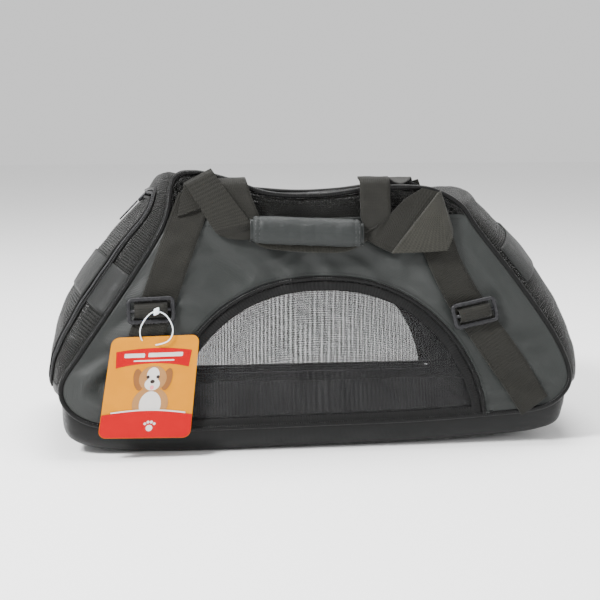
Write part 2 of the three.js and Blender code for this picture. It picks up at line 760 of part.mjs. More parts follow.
// ---- roof ----
function addRoof() {
  const flap = spread(topAt(FLAP_HALF), topAt(-FLAP_HALF), 14);
  const across = rounded(-ROOF_FRONT_SHARE, ROOF_HINGE_SHARE, 8);
  add('roof_flap', bodyPiece(flap, across, -MESH, 0), 'mesh');
  const front = spread(topAt(ROOF_BORDER_X - 0.6), topAt(-ROOF_BORDER_X + 0.6), 14);
  add('roof_front_border', bodyPiece(front, rounded(-1, -ROOF_BORDER_SHARE, 2), -MESH, 0), 'mesh');
  const zip = [];
  const t = -(ROOF_FRONT_SHARE + ROOF_BORDER_SHARE) / 2;
  for (const u of spread(ROOF_HINGE_SHARE - 0.05, t + 0.06, 6)) {
    zip.push(onBody(topAt(-ROOF_ZIP_X), u, -MESH / 2));
  }
  for (const x of spread(-ROOF_ZIP_X + 6, ROOF_ZIP_X - 6, 8)) {
    zip.push(onBody(topAt(x), t, -MESH / 2));
  }
  for (const u of spread(t + 0.06, ROOF_HINGE_SHARE - 0.05, 6)) {
    zip.push(onBody(topAt(ROOF_ZIP_X), u, -MESH / 2));
  }
  add('roof_zip', openCord(zip, ZIP_R, 70, 6), 'zip');
  const at = onBody(topAt(ROOF_SLIDER_X), t, 0);
  const place = (x, y, z) => [at[0] + x, at[1] + y, at[2] + SLIDER_LIFT + z];
  addZipParts('roof', place);
}

for (const [name, side] of [['front', 1], ['back', -1]]) {
  addPanel(name, side);
  addTopMesh(name, side);
  addWindow(name, side);
  addRim(name, side);
}

addStrap('front_left_strap', LEFT_FOOT_X, LEFT_KINK_X, LEFT_HEAD_X, 1);
addStrap('front_right_strap', RIGHT_FOOT_X, RIGHT_KINK_X, RIGHT_HEAD_X, 1);
addStrap('back_right_strap', LEFT_FOOT_X, LEFT_KINK_X, LEFT_HEAD_X, -1);
addStrap('back_left_strap', RIGHT_FOOT_X, RIGHT_KINK_X, RIGHT_HEAD_X, -1);
addGlide('front_left_glide', glidePlace(LEFT_FOOT_X, LEFT_KINK_X, LEFT_GLIDE_Z), 1);
addGlide('front_right_glide', glidePlace(RIGHT_FOOT_X, RIGHT_KINK_X, RIGHT_GLIDE_Z), 1);
addGlide('back_right_glide', glidePlace(LEFT_FOOT_X, LEFT_KINK_X, LEFT_GLIDE_Z), -1);
addGlide('back_left_glide', glidePlace(RIGHT_FOOT_X, RIGHT_KINK_X, RIGHT_GLIDE_Z), -1);
addGrip();
addFrontHandle();
addBackHandle();
addCrossing('left_roof_webbing', -RIGHT_HEAD_X, BACK_ARM_LEFT_X);
addCrossing('right_roof_webbing', -LEFT_HEAD_X, BACK_ARM_RIGHT_X);
addTag();
addLoop();
addBase();
addLeftEnd();
addRightEnd();
addRoof();


export default group;
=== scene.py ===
import bpy
import bmesh
import math
import numpy as np
from mathutils import Matrix, Vector, noise


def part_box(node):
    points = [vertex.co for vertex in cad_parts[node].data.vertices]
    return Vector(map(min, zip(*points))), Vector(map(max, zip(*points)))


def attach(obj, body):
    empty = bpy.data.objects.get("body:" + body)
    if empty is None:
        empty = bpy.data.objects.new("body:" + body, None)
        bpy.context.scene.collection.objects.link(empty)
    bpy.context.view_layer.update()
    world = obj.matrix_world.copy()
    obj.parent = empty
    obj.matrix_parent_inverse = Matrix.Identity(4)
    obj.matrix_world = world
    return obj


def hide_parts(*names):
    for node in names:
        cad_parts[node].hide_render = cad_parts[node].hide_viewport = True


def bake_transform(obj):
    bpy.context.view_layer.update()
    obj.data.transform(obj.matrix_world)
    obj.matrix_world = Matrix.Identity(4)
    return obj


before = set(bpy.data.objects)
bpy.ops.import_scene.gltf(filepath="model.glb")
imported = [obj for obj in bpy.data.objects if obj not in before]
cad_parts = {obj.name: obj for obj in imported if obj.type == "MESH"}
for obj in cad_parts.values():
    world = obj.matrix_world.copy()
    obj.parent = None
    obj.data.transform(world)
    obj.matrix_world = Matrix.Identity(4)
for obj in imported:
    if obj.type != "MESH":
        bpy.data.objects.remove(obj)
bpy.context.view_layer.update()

# --- Base tray ---
# A shallow tray of padded polyester, boxed round the bottom and curling up at both ends.
# It is sewn to the two long faces with a corded seam and stands on its flat underside.

# The seam round each long face in millimetres, x and z, from the middle of its foot to the right.
# The front one is pulled up at its left shoulder by the handle and slumps at the right one.
FRONT_SEAM = [
    (0, 27), (80, 28), (150, 31), (203, 35), (228, 44), (241, 65), (228, 102), (193, 154),
    (153, 206), (136, 230), (112, 244), (85, 248), (50, 247), (0, 241), (-50, 243), (-88, 256),
    (-120, 263), (-139, 256), (-149, 215), (-181, 164), (-226, 100), (-246, 68), (-238, 44),
    (-208, 30), (-150, 26), (-80, 26),
]
BACK_SEAM = [
    (0, 26), (80, 26), (150, 27), (203, 31), (230, 44), (243, 66), (230, 100), (194, 154),
    (156, 208), (140, 230), (122, 240), (90, 240), (45, 235), (0, 232), (-45, 234), (-90, 240),
    (-122, 241), (-140, 231), (-156, 208), (-194, 154), (-230, 100), (-243, 66), (-230, 44),
    (-203, 30), (-150, 26), (-80, 26),
]
SEAMS = {1: FRONT_SEAM, -1: BACK_SEAM}
SEAM_STEPS = len(FRONT_SEAM)
# The long faces stand this far from the middle at their foot, and lean in by this much as they rise.
BASE_HALF, SEAM_Z, LEAN = 125, 26, 0.152
SEAM_INSET = 2.4
# How far the ends stand out at the foot and half way up, and how far the roof sags.
END_SWELL, END_BELLY, ROOF_SAG = 23, 16, 3


def curve_point(points, v, closed=True):
    """A smooth curve through every point: v counts points."""
    n = len(points)
    i = math.floor(v)
    f = v - i
    if closed:
        a, b, c, d = (np.array(points[(i + k) % n], float) for k in (-1, 0, 1, 2))
    else:
        i = min(max(i, 0), n - 2)
        f = v - i
        a, b, c, d = (np.array(points[min(max(i + k, 0), n - 1)], float) for k in (-1, 0, 1, 2))
    square, cube = 2 * a - 5 * b + 4 * c - d, 3 * b - a - 3 * c + d
    return 0.5 * (2 * b + (c - a) * f + square * f * f + cube * f ** 3)


def smooth(v):
    """0 below 0, 1 above 1, and an easy curve between."""
    v = min(max(v, 0.0), 1.0)
    return v * v * (3 - 2 * v)


def half_depth(z):
    return BASE_HALF - LEAN * (z - SEAM_Z)


def bulge(z, nx, nz):
    """How far the band stands out where its outline faces nx, nz, and its shares of base and roof."""
    base = smooth(-nz * 1.15 - 0.1)
    roof = smooth((nz - 0.62) / 0.36)
    share = min(max((z - 55) / 200, 0), 1)
    end = END_SWELL * (1 - 0.35 * share) + END_BELLY * math.sin(math.pi * share)
    corner = 1 - 0.62 * smooth(4 * base * (1 - base))
    if nx < 0:
        corner *= 1 - 0.5 * smooth((110 - z) / 70) * (1 - base)
    return (end * (1 - base) + SEAM_Z * base) * (1 - roof) * corner - ROOF_SAG * roof, base, roof


def on_body(s, t, d=0.0, mood=1.0):
    """A place on the soft band between the two seams, in metres: t runs from the front to the back."""
    front = curve_point(FRONT_SEAM, s)
    back = curve_point(BACK_SEAM, s)
    ahead = curve_point(FRONT_SEAM, s + 0.02) + curve_point(BACK_SEAM, s + 0.02)
    tangent = ahead - front - back
    tangent = tangent / np.hypot(*tangent)
    nx, nz = tangent[1], -tangent[0]
    share = smooth((t + 1) / 2) * 0.5 + (t + 1) / 4
    x, z = front * (1 - share) + back * share
    out, base, roof = bulge(z, nx, nz)
    edge = 1 - 0.86 * base
    along = max(abs(t) - (1 - edge), 0) / edge
    round_ = math.sqrt(max(1 - along * along, 0))
    rise = round_ * (1 - roof) + (1 - along * along) * roof
    soft = 1 - base
    wrinkle = 1.6 * noise.noise((s * 1.3, t * 1.6, 5.0)) + 0.9 * noise.noise((s * 3.4, t * 4.1, 2.0))
    out = out * rise + mood * wrinkle * (0.35 + 0.65 * soft) * min(round_ * 1.6, 1)
    out += d * (roof + (1 - roof) * max(round_, 0.5))
    if base > 0.5:
        out = min(out, z - 0.2) if nz < -0.9 else out
    y = t * (half_depth(z) - SEAM_INSET + d * (1 - roof))
    return Vector((x + nx * out, y, z + nz * out)) / 1000


def make_object(name, bm):
    """A smooth-shaded object from the mesh, which it uses up."""
    mesh = bpy.data.meshes.new(name)
    bm.to_mesh(mesh)
    bm.free()
    for face in mesh.polygons:
        face.use_smooth = True
    piece = bpy.data.objects.new(name, mesh)
    bpy.context.collection.objects.link(piece)
    return piece


def sheet_of(name, nu, nv, place, thick=0.0, offset=0.0):
    """A grid of cloth shaped by place(u, v), with its weave laid out in metres."""
    bm = bmesh.new()
    bmesh.ops.create_grid(bm, x_segments=nu, y_segments=nv, size=0.5, calc_uvs=True)
    weave = bm.loops.layers.uv.verify()
    spot = {}
    for v in bm.verts:
        spot[v] = (v.co.x + 0.5, v.co.y + 0.5)
        v.co = place(*spot[v])
    sum(face.calc_area() for face in bm.faces)
    middle = [place(i / nu, 0.5) for i in range(nu + 1)]
    cross = [place(0.5, i / nv) for i in range(nv + 1)]
    long = sum((b - a).length for a, b in zip(middle, middle[1:]))
    wide = sum((b - a).length for a, b in zip(cross, cross[1:]))
    for face in bm.faces:
        for loop in face.loops:
            u, v = spot[loop.vert]
            loop[weave].uv = (u * long, v * wide)
    piece = make_object(name, bm)
    if thick:
        wall = piece.modifiers.new("wall", "SOLIDIFY")
        wall.thickness = thick / 1000
        wall.offset = offset
    return piece


def fit(piece, finish, body, *nodes, hinge=None):
    """Give the piece its finish, hide the CAD nodes it stands for, and hang it on its body; with a hinge, its place
    is baked in instead.
    """
    piece.data.materials.append(finish)
    if nodes:
        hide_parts(*nodes)
    if hinge:
        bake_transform(piece)
    else:
        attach(piece, body)
    return piece


def new_finish(name, colour, roughness, metallic=0.0, sheen=0.0):
    """A material whose shader is ready for colour and bump nodes."""
    finish = bpy.data.materials.new(name)
    finish.use_nodes = True
    tree = finish.node_tree
    shader = tree.nodes["Principled BSDF"]
    shader.inputs["Base Color"].default_value = (*colour, 1)
    shader.inputs["Roughness"].default_value = roughness
    shader.inputs["Metallic"].default_value = metallic
    shader.inputs["Sheen Weight"].default_value = sheen
    shader.inputs["Sheen Roughness"].default_value = 0.4
    shader.inputs["Specular IOR Level"].default_value = 0.13
    return finish, tree, shader


def add_node(tree, kind, **inputs):
    """A node with its inputs set or linked: i0 is the first input, and p_ sets a property."""
    node = tree.nodes.new(kind)
    for key, value in inputs.items():
        if key.startswith("p_"):
            setattr(node, key[2:], value)
            continue
        numbered = key[0] == "i" and key[1:].isdigit()
        slot = node.inputs[int(key[1:]) if numbered else key.replace("_", " ")]
        if isinstance(value, bpy.types.NodeSocket):
            tree.links.new(value, slot)
        else:
            slot.default_value = value
    return node


def math_node(tree, how, a, b=0.0, c=0.0):
    return add_node(tree, "ShaderNodeMath", p_operation=how, i0=a, i1=b, i2=c).outputs[0]


def wave_along(tree, coordinate, pitch):
    """A sine from 0 to 1 with this pitch in metres, along one coordinate."""
    turned = math_node(tree, "MULTIPLY", coordinate, 2 * math.pi / pitch)
    return math_node(tree, "MULTIPLY_ADD", math_node(tree, "SINE", turned), 0.5, 0.5)


def colour_by(tree, shader, share, dark, light):
    """Let the base colour run from dark to light with this share."""
    ramp = add_node(tree, "ShaderNodeValToRGB", i0=share)
    ramp.color_ramp.elements[0].color = (*dark, 1)
    ramp.color_ramp.elements[1].color = (*light, 1)
    tree.links.new(ramp.outputs[0], shader.inputs["Base Color"])


def shade_by(tree, shader, share, colour, low, high):
    """The same between two multiples of one colour."""
    colour_by(tree, shader, share, [c * low for c in colour], [c * high for c in colour])


def object_place(tree):
    return add_node(tree, "ShaderNodeTexCoord").outputs["Object"]


def weave_place(tree):
    """The cloth's own coordinates in metres, together and one by one."""
    weave = add_node(tree, "ShaderNodeTexCoord").outputs["UV"]
    along, across, _ = add_node(tree, "ShaderNodeSeparateXYZ", i0=weave).outputs
    return weave, along, across


def noise_of(tree, vector, scale, detail=2.0):
    return add_node(tree, "ShaderNodeTexNoise", Vector=vector, Scale=scale, Detail=detail).outputs[0]


def bump(tree, shader, height, distance, strength=1.0, under=None):
    node = add_node(tree, "ShaderNodeBump", Strength=strength, Distance=distance, Height=height)
    if under is not None:
        tree.links.new(under, node.inputs["Normal"])
    tree.links.new(node.outputs[0], shader.inputs["Normal"])
    return node.outputs[0]


THREAD = 0.0009
FOLD_SLANT, FOLD_SQUEEZE = 0.7, 2.2


def polyester(name, colour, crease=0.0011):
    """Plain-woven polyester with fine threads, soft creases and a slight sheen."""
    finish, tree, shader = new_finish(name, colour, 0.42, sheen=0.05)
    shader.inputs["Specular IOR Level"].default_value = 0.24
    place = object_place(tree)
    _, across, up = weave_place(tree)
    warp = wave_along(tree, across, THREAD)
    weft = wave_along(tree, up, THREAD)
    threads = math_node(tree, "MULTIPLY", warp, weft)
    cloud = noise_of(tree, place, 16.0, 4.0)
    fine = noise_of(tree, place, 600.0)
    mixed = math_node(tree, "MULTIPLY_ADD", cloud, 0.75, math_node(tree, "MULTIPLY", fine, 0.3))
    shade_by(tree, shader, mixed, colour, 0.62, 1.42)
    rough = math_node(tree, "MULTIPLY_ADD", cloud, 0.25, 0.28)
    tree.links.new(rough, shader.inputs["Roughness"])
    slant = add_node(tree, "ShaderNodeMapping", Vector=place, Rotation=(0, FOLD_SLANT, 0), Scale=(1, 1, FOLD_SQUEEZE))
    folds = add_node(tree, "ShaderNodeTexNoise", p_noise_type="RIDGED_MULTIFRACTAL",
                     Vector=slant.outputs[0], Scale=11.0, Detail=1.5).outputs[0]
    soft = noise_of(tree, place, 30.0)
    first = bump(tree, shader, math_node(tree, "MULTIPLY_ADD", soft, 0.6, folds), crease * 4, 0.8)
    bump(tree, shader, threads, 0.00022, 0.8, first)
    return finish


SLATE = (0.0145, 0.0163, 0.0154)
slate_cloth = polyester("slate_polyester", SLATE)
# The tray's cloth is darkened far below the slate panels: painted shade for the underside, which curves down away
# from the lamps.
tray_cloth_painted_shade = polyester("tray_polyester_painted_shade", (0.0012, 0.0014, 0.0013))


TRAY_REACH, TRAY_THICK = 5.0, 2.4


def tray_place(u, v):
    steep = math.sin((u - 0.5) * math.pi)
    t = math.copysign(abs(steep) ** 0.55, steep)
    return on_body(TRAY_REACH * (2 * v - 1), t, 0, 0.5)


base_panel = sheet_of("base_tray", 64, 150, tray_place, TRAY_THICK, -1)
# The darkened cloth on the tray is its painted shade.
fit(base_panel, tray_cloth_painted_shade, "shell", "base_panel")

# --- Base board and mat ---
# A stiff sheet lies in the tray, and a fleece mat, quilted in wide channels, lies on it.
# The mat is stuffed and bound round its edge, and lifts out.
board_finish, tree, shader = new_finish("board_sheet", (0.02, 0.02, 0.022), 0.6)
place = object_place(tree)
grain = noise_of(tree, place, 240.0, 3.0)
colour_by(tree, shader, grain, (0.014, 0.014, 0.015), (0.04, 0.04, 0.042))
bump(tree, shader, grain, 0.0004, 0.6)
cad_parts["base_board"].data.materials.clear()
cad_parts["base_board"].data.materials.append(board_finish)

MAT_LOW, MAT_TOP = (np.array(v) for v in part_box("fleece_mat"))
MAT_CORNER, MAT_ROUND = 0.03, 0.09
# The quilting: how far apart its channels are, how narrow, and their share of the mat's height.
CHANNEL, CHANNEL_NARROW, CHANNEL_DEEP = 0.066, 0.005, 0.35


def fleece(name, colour):
    """Short matt pile with a clouded nap."""
    finish, tree, shader = new_finish(name, colour, 0.95, sheen=0.15)
    place = object_place(tree)
    pile = noise_of(tree, place, 900.0, 3.0)
    cloud = noise_of(tree, place, 45.0, 5.0)
    both = math_node(tree, "MULTIPLY_ADD", pile, 0.5, math_node(tree, "MULTIPLY", cloud, 0.5))
    shade_by(tree, shader, both, colour, 0.5, 1.5)
    bump(tree, shader, both, 0.0016, 0.9)
    return finish


def mat_piece():
    """Two grids joined at the rim: a quilted top and a nearly flat underside."""
    bm = bmesh.new()
    bmesh.ops.create_grid(bm, x_segments=110, y_segments=56, size=0.5)
    half = (MAT_TOP - MAT_LOW) / 2
    middle = (MAT_TOP + MAT_LOW) / 2
    top = bmesh.ops.duplicate(bm, geom=bm.faces[:] + bm.verts[:] + bm.edges[:])
    upper = {v for v in top["geom"] if isinstance(v, bmesh.types.BMVert)}
    for v in bm.verts:
        x, y = v.co.x * 2, v.co.y * 2
        # round the corners of the square grid
        px, py = x * half[0], y * half[1]
        cx, cy = half[0] - MAT_CORNER, half[1] - MAT_CORNER
        if abs(px) > cx and abs(py) > cy:
            dx, dy = abs(px) - cx, abs(py) - cy
            reach = max(dx, dy)
            long = math.hypot(dx, dy) or 1
            px = math.copysign(cx + dx * reach / long, px)
            py = math.copysign(cy + dy * reach / long, py)
        edge = min(1 - abs(x), 1 - abs(y))
        crown = math.sqrt(1 - (1 - min(edge / MAT_ROUND, 1)) ** 2)
        across = (px + 0.2) % CHANNEL - CHANNEL / 2
        channel = 1 - CHANNEL_DEEP * math.exp(-(across / CHANNEL_NARROW) ** 2)
        high = half[2] * crown
        if v in upper:
            high *= channel + 0.08 * noise.noise((px * 30, py * 30, 1))
        else:
            high *= -0.96
        v.co = (middle[0] + px, middle[1] + py, middle[2] + high)
    bmesh.ops.reverse_faces(bm, faces=[f for f in bm.faces if f.verts[0] not in upper])
    bmesh.ops.remove_doubles(bm, verts=bm.verts[:], dist=0.00005)
    bmesh.ops.recalc_face_normals(bm, faces=bm.faces[:])
    return make_object("quilted_mat", bm)


mat = mat_piece()
fit(mat, fleece("charcoal_fleece", (0.006, 0.006, 0.006)), "fleece_mat", "fleece_mat")

# --- Long faces ---
# Each long face is one panel of slate polyester with an arch cut out of it, hemmed along its
# straight upper edge. The cloth is slack, so it hangs in creases between the straps.
COS = 1 / math.hypot(1, LEAN)
SIN = LEAN * COS
SIDES = (("front", 1), ("back", -1))
RIM_COUNT = 420
RIM_STEPS = np.linspace(0, SEAM_STEPS, RIM_COUNT, endpoint=False)
RIMS = {side: np.array([curve_point(seam, v) for v in RIM_STEPS]) for side, seam in SEAMS.items()}
# Pulls and folds in the panels: where each runs from and to, how wide it is and how high it stands.
PANEL_FOLDS = [
    ((-104, 214), (-58, 176), 9, 2.2), ((-70, 206), (-30, 168), 7, 1.6),
    ((-150, 196), (-172, 150), 8, 1.4), ((40, 196), (76, 170), 8, 1.8),
    ((66, 205), (110, 150), 10, 1.6), ((150, 190), (190, 130), 9, 1.8),
    ((-128, 130), (-206, 104), 10, 2.0), ((-120, 118), (-196, 60), 9, 1.6),
    ((178, 100), (226, 62), 10, 1.8), ((-14, 196), (10, 166), 7, 1.3),
    ((-196, 84), (-232, 74), 8, 1.6), ((160, 52), (206, 48), 7, 1.2),
]
FOLD_HEIGHT, FOLD_RUN_OUT = 2.4, 0.3
SWELL, CREASE = 5.0, 5.5
SLACK, SLACK_FROM_RIM = 4.2, 22


def relief(x, z, side):
    """How far the cloth of a long face stands off its flat plane."""
    near = math.sqrt(((RIMS[side] - (x, z)) ** 2).sum(1).min())
    out = SWELL * noise.noise((x / 58, z / 38, 3.1 * side))
    out += CREASE * (0.25 - abs(noise.noise((x / 40 + z / 90, z / 28 - x / 120, 8.2 * side))))
    for (x0, z0), (x1, z1), wide, high in PANEL_FOLDS:
        dx, dz = x1 - x0, z1 - z0
        along = ((x - x0) * dx + (z - z0) * dz) / (dx * dx + dz * dz)
        if -FOLD_RUN_OUT < along < 1 + FOLD_RUN_OUT:
            across = ((x - x0) * dz - (z - z0) * dx) / math.hypot(dx, dz)
            ends = smooth((along + 0.3) / 0.4) * smooth((1.3 - along) / 0.4)
            ridge = math.exp(-(across / wide) ** 2)
            ridge -= 0.5 * math.exp(-((across - 1.6 * wide) / wide) ** 2)
            out += FOLD_HEIGHT * high * ends * ridge
    return SLACK * math.tanh(out / SLACK) * smooth(near / SLACK_FROM_RIM)


def off_face(x, z, d, side=1):
    """A place in metres, d out from the flat plane of a long face."""
    return Vector((side * x, -side * (half_depth(z) + d * COS), z + d * SIN)) / 1000


def on_face(x, z, d, side=1):
    """A place in metres, d out from the slack cloth of a long face."""
    return off_face(x, z, d + relief(x, z, side), side)


ARCH_HALF, ARCH_RISE, ARCH_FOOT = 155, 132, 31
ARCH_WIDE_POWER, ARCH_TALL_POWER = 2.3, 1.65
PANEL_TOP = 221
PANEL_THICK, PANEL_INSET, PANEL_OUT = 2.0, 1.5, 1.8
# The arch's feet, in points along the seam, and each flank's share of the panel's outer edge.
ARCH_SEAM, FLANK = 2.05, 0.36


def arch(angle, grow=0.0):
    """On the arch, or this far outside it: the angle runs from its right foot to its left."""
    across = math.cos(angle)
    x = (ARCH_HALF + grow) * math.copysign(abs(across) ** (2 / ARCH_WIDE_POWER), across)
    z = (ARCH_RISE + grow) * max(math.sin(angle), 0) ** (2 / ARCH_TALL_POWER)
    return x, ARCH_FOOT + z


def seam_at(side, v, inset=0.0):
    """On the seam round a long face, or this far inside it: v counts the seam's points."""
    p = curve_point(SEAMS[side], v)
    t = curve_point(SEAMS[side], v + 0.02) - p
    t = t / np.hypot(*t)
    return p[0] - t[1] * inset, p[1] + t[0] * inset


def seam_height(side, z, left):
    """Where the seam passes a height on its left or right flank."""
    low, high = (18.6, 16.6) if left else (7.0, 9.8)
    for _ in range(30):
        middle = (low + high) / 2
        if seam_at(side, middle)[1] < z:
            low = middle
        else:
            high = middle
    return (low + high) / 2


HEM_ENDS = {side: [seam_height(side, PANEL_TOP, left) for left in (True, False)] for _, side in SIDES}


def panel_outline(side, share):
    """Round the panel's outer edge from the left foot of the arch to its right foot."""
    left, right = HEM_ENDS[side]
    start, end = SEAM_STEPS - ARCH_SEAM, ARCH_SEAM
    if share < FLANK:
        return seam_at(side, start + (left - start) * share / FLANK, PANEL_INSET)
    if share > 1 - FLANK:
        return seam_at(side, right + (end - right) * (share - 1 + FLANK) / FLANK, PANEL_INSET)
    a = seam_at(side, left, PANEL_INSET)
    b = seam_at(side, right, PANEL_INSET)
    f = (share - FLANK) / (1 - 2 * FLANK)
    return a[0] + (b[0] - a[0]) * f, PANEL_TOP + 1.4 * math.sin(f * 9)


def panel_place(side):
    """From the arch, at v = 0, out to the panel's edge."""
    def place(u, v):
        outer = panel_outline(side, u)
        inner = arch(math.pi * (1 - u), 2)
        x = inner[0] + (outer[0] - inner[0]) * v
        z = max(inner[1] + (outer[1] - inner[1]) * v, SEAM_Z)
        return on_face(x, z, PANEL_OUT, side)
    return place


for name, side in SIDES:
    panel = sheet_of(f"{name}_cloth_panel", 200, 34, panel_place(side), PANEL_THICK, -1)
    fit(panel, slate_cloth, "shell", f"{name}_panel")

# --- Mesh ---
# Knitted black mesh fills the windows, the strips above the panels, the ends and the roof.
# The window mesh is the open one; the rest is a closer knit that lets less light through.
KNIT_THICK, WINDOW_THICK = 0.6, 0.5
FOOT_STEP = 78


def open_mesh(name, colour, pitch, hole, thin, thick, shine=0.5):
    """Knitted mesh with real holes in rows, the threads thicker one way than the other."""
    finish, tree, shader = new_finish(name, colour, shine, sheen=0.1)
    place = object_place(tree)
    _, across, up = weave_place(tree)
    columns = wave_along(tree, across, pitch)
    rows = wave_along(tree, up, pitch * 0.8)
    open_share = math_node(tree, "MULTIPLY_ADD", columns, 0.5, math_node(tree, "MULTIPLY", rows, 0.5))
    cloud = noise_of(tree, place, 38.0, 3.0)
    loose = math_node(tree, "MULTIPLY_ADD", cloud, 0.1, open_share)
    edge = math_node(tree, "MULTIPLY_ADD", loose, -2.2, 0.5 + 2.2 * (1.05 - hole))
    thread = math_node(tree, "MINIMUM", math_node(tree, "MAXIMUM", edge, thin), thick)
    tree.links.new(thread, shader.inputs["Alpha"])
    shade_by(tree, shader, cloud, colour, 0.6, 1.6)
    bump(tree, shader, math_node(tree, "SUBTRACT", 1.0, open_share), 0.0005, 0.9)
    return finish


window_knit = open_mesh("window_mesh", (0.02, 0.02, 0.0203), 0.0029, 0.545, 0.32, 0.58)
close_knit = open_mesh("close_mesh", (0.0075, 0.0076, 0.0070), 0.0026, 0.37, 0.3, 0.95)


def seam_foot(side, x):
    """The height of the seam under a long face."""
    return curve_point(SEAMS[side], x / FOOT_STEP)[1]


def window_place(side):
    def place(u, v):
        x, z = arch(math.pi * (1 - u), -2)
        foot = seam_foot(side, x) - 1.5
        return on_face(x, foot + max(z - foot, 0) * v, 0.2 - 1.2 * math.sin(math.pi * v), side)
    return place


for name, side in SIDES:
    window = sheet_of(f"{name}_window", 120, 40, window_place(side), WINDOW_THICK, -1)
    fit(window, window_knit, "shell", f"{name}_window_mesh")


def strip_place(side):
    """Between the panel's hem and the seam above it, with pleats that fan out from the shoulders."""
    left, right = HEM_ENDS[side]

    def place(u, v):
        top = seam_at(side, left + (right - left) * u, 1.0)
        a = seam_at(side, left, 1.0)
        b = seam_at(side, right, 1.0)
        low = (a[0] + (b[0] - a[0]) * u, PANEL_TOP - 5)
        fan = math.exp(-((u - 0.07) / 0.07) ** 2) + 0.6 * math.exp(-((u - 0.93) / 0.06) ** 2)
        pleat = 2.2 * fan * math.sin(u * 190) * math.sin(math.pi * v) ** 0.5
        x = low[0] + (top[0] - low[0]) * v
        z = low[1] + (top[1] - low[1]) * v
        return on_face(x, z, 0.3 + pleat, side)
    return place


for name, side in SIDES:
    strip = sheet_of(f"{name}_mesh_strip", 150, 18, strip_place(side), KNIT_THICK, -1)
    fit(strip, close_knit, "shell", f"{name}_top_mesh")

# --- Piping and bindings ---
# Black corded piping runs round each long face and round each arch. Inside the arch a ribbed
# binding covers the raw edge of the mesh. A sprung wire in a black sleeve keeps each face open.


def cord_of(name, points, radius, sides, reference, closed=False):
    """A round cord along points in metres; reference gives the side that its seam faces."""
    bm = bmesh.new()
    count = len(points)
    rows = count if closed else count - 1
    bmesh.ops.create_grid(bm, x_segments=rows, y_segments=sides, size=0.5, calc_uvs=True)
    weave = bm.loops.layers.uv.verify()
    reach = [0.0]
    for i in range(rows):
        reach.append(reach[-1] + (points[(i + 1) % count] - points[i]).length)
    spot = {}
    for v in bm.verts:
        i = round((v.co.x + 0.5) * rows)
        k = round((v.co.y + 0.5) * sides)
        spot[v] = (reach[i], 2 * math.pi * radius * k / sides)
        here = points[i % count]
        ahead = points[(i + 1) % count] if closed or i < count - 1 else points[i]
        behind = points[(i - 1) % count] if closed or i > 0 else points[i]
        tangent = (ahead - behind).normalized()
        side = reference(i % count)
        side = (side - tangent * side.dot(tangent)).normalized()
        other = tangent.cross(side)
        angle = 2 * math.pi * k / sides
        v.co = here + radius * (side * math.cos(angle) + other * math.sin(angle))
    for face in bm.faces:
        for loop in face.loops:
            loop[weave].uv = spot[loop.vert]
    bmesh.ops.remove_doubles(bm, verts=bm.verts[:], dist=1e-6)
    if not closed:
        bmesh.ops.holes_fill(bm, edges=[e for e in bm.edges if e.is_boundary], sides=sides + 1)
    bmesh.ops.recalc_face_normals(bm, faces=bm.faces[:])
    return make_object(name, bm)


def ribbed(name, colour, pitch, shine=0.42):
    """Ribs across the length, as on binding tape and piping."""
    finish, tree, shader = new_finish(name, colour, shine, sheen=0.08)
    weave, along, _ = weave_place(tree)
    rib = wave_along(tree, along, pitch)
    speck = noise_of(tree, weave, 700.0)
    both = math_node(tree, "MULTIPLY_ADD", rib, 0.5, math_node(tree, "MULTIPLY", speck, 0.6))
    shade_by(tree, shader, both, colour, 0.5, 1.7)
    bump(tree, shader, both, 0.0005, 0.9)
    return finish


piping_finish = ribbed("black_piping", (0.003, 0.003, 0.003), 0.0022, 0.3)
binding_finish = ribbed("ribbed_binding", (0.0042, 0.0042, 0.0042), 0.0026, 0.6)
PIPING_COUNT = 300
FOOT_BINDING = 8


def straight_out(side):
    """Straight out of a long face."""
    return Vector((0, -side, 0))


for name, side in SIDES:
    line = []
    for i in range(PIPING_COUNT):
        x, z = seam_at(side, SEAM_STEPS * i / PIPING_COUNT)
        line.append(on_face(x, z, 0.6, side))
    piping = cord_of(f"{name}_rim_piping", line, 0.0026, 12, lambda i, s=side: straight_out(s), True)
    fit(piping, piping_finish, "shell", f"{name}_edge_piping")
    around = [on_face(*arch(math.pi * (1 - i / 120)), 1.6, side) for i in range(121)]
    welt = cord_of(f"{name}_arch_piping", around, 0.0024, 12, lambda i, s=side: straight_out(s))
    fit(welt, piping_finish, "shell", f"{name}_window_piping")

    def binding_place(u, v, s=side):
        x, z = arch(math.pi * (1 - u), -11.5 + 9.5 * v)
        return on_face(x, z, 1.3 + 0.5 * math.sin(math.pi * v), s)

    binding = sheet_of(f"{name}_arch_binding", 160, 6, binding_place, 0.8, 0)
    fit(binding, binding_finish, "shell", f"{name}_window_binding")

    def foot_place(u, v, s=side):
        x = (ARCH_HALF - 4) * (2 * u - 1)
        low = seam_foot(s, x)
        return on_face(x, low + FOOT_BINDING * v, 1.0 + 0.5 * math.sin(math.pi * v), s)

    foot = sheet_of(f"{name}_foot_binding", 120, 4, foot_place, 0.8, 0)
    fit(foot, binding_finish, "shell")
    wire_line = []
    for i in range(160):
        x, z = seam_at(side, SEAM_STEPS * i / 160, 8)
        y = -half_depth(z) + 4.6
        wire_line.append(Vector((side * x, side * y, z)) / 1000)
    wire = cord_of(f"{name}_sprung_wire", wire_line, 0.0017, 8, lambda i, s=side: straight_out(s), True)
    fit(wire, piping_finish, "shell", f"{name}_frame_wire")

# --- Ends ---
# Both ends are gussets of close mesh with a smooth polyester band sewn across them. The left one
# is a door: a coil zip runs up one side, over the top and down the other, and it folds down.


def end_place(s0, s1, t0, t1, d=0.0):
    a, b = math.asin(t0), math.asin(t1)

    def place(u, v):
        return on_body(s0 + (s1 - s0) * v, math.sin(a + (b - a) * u), d)
    return place


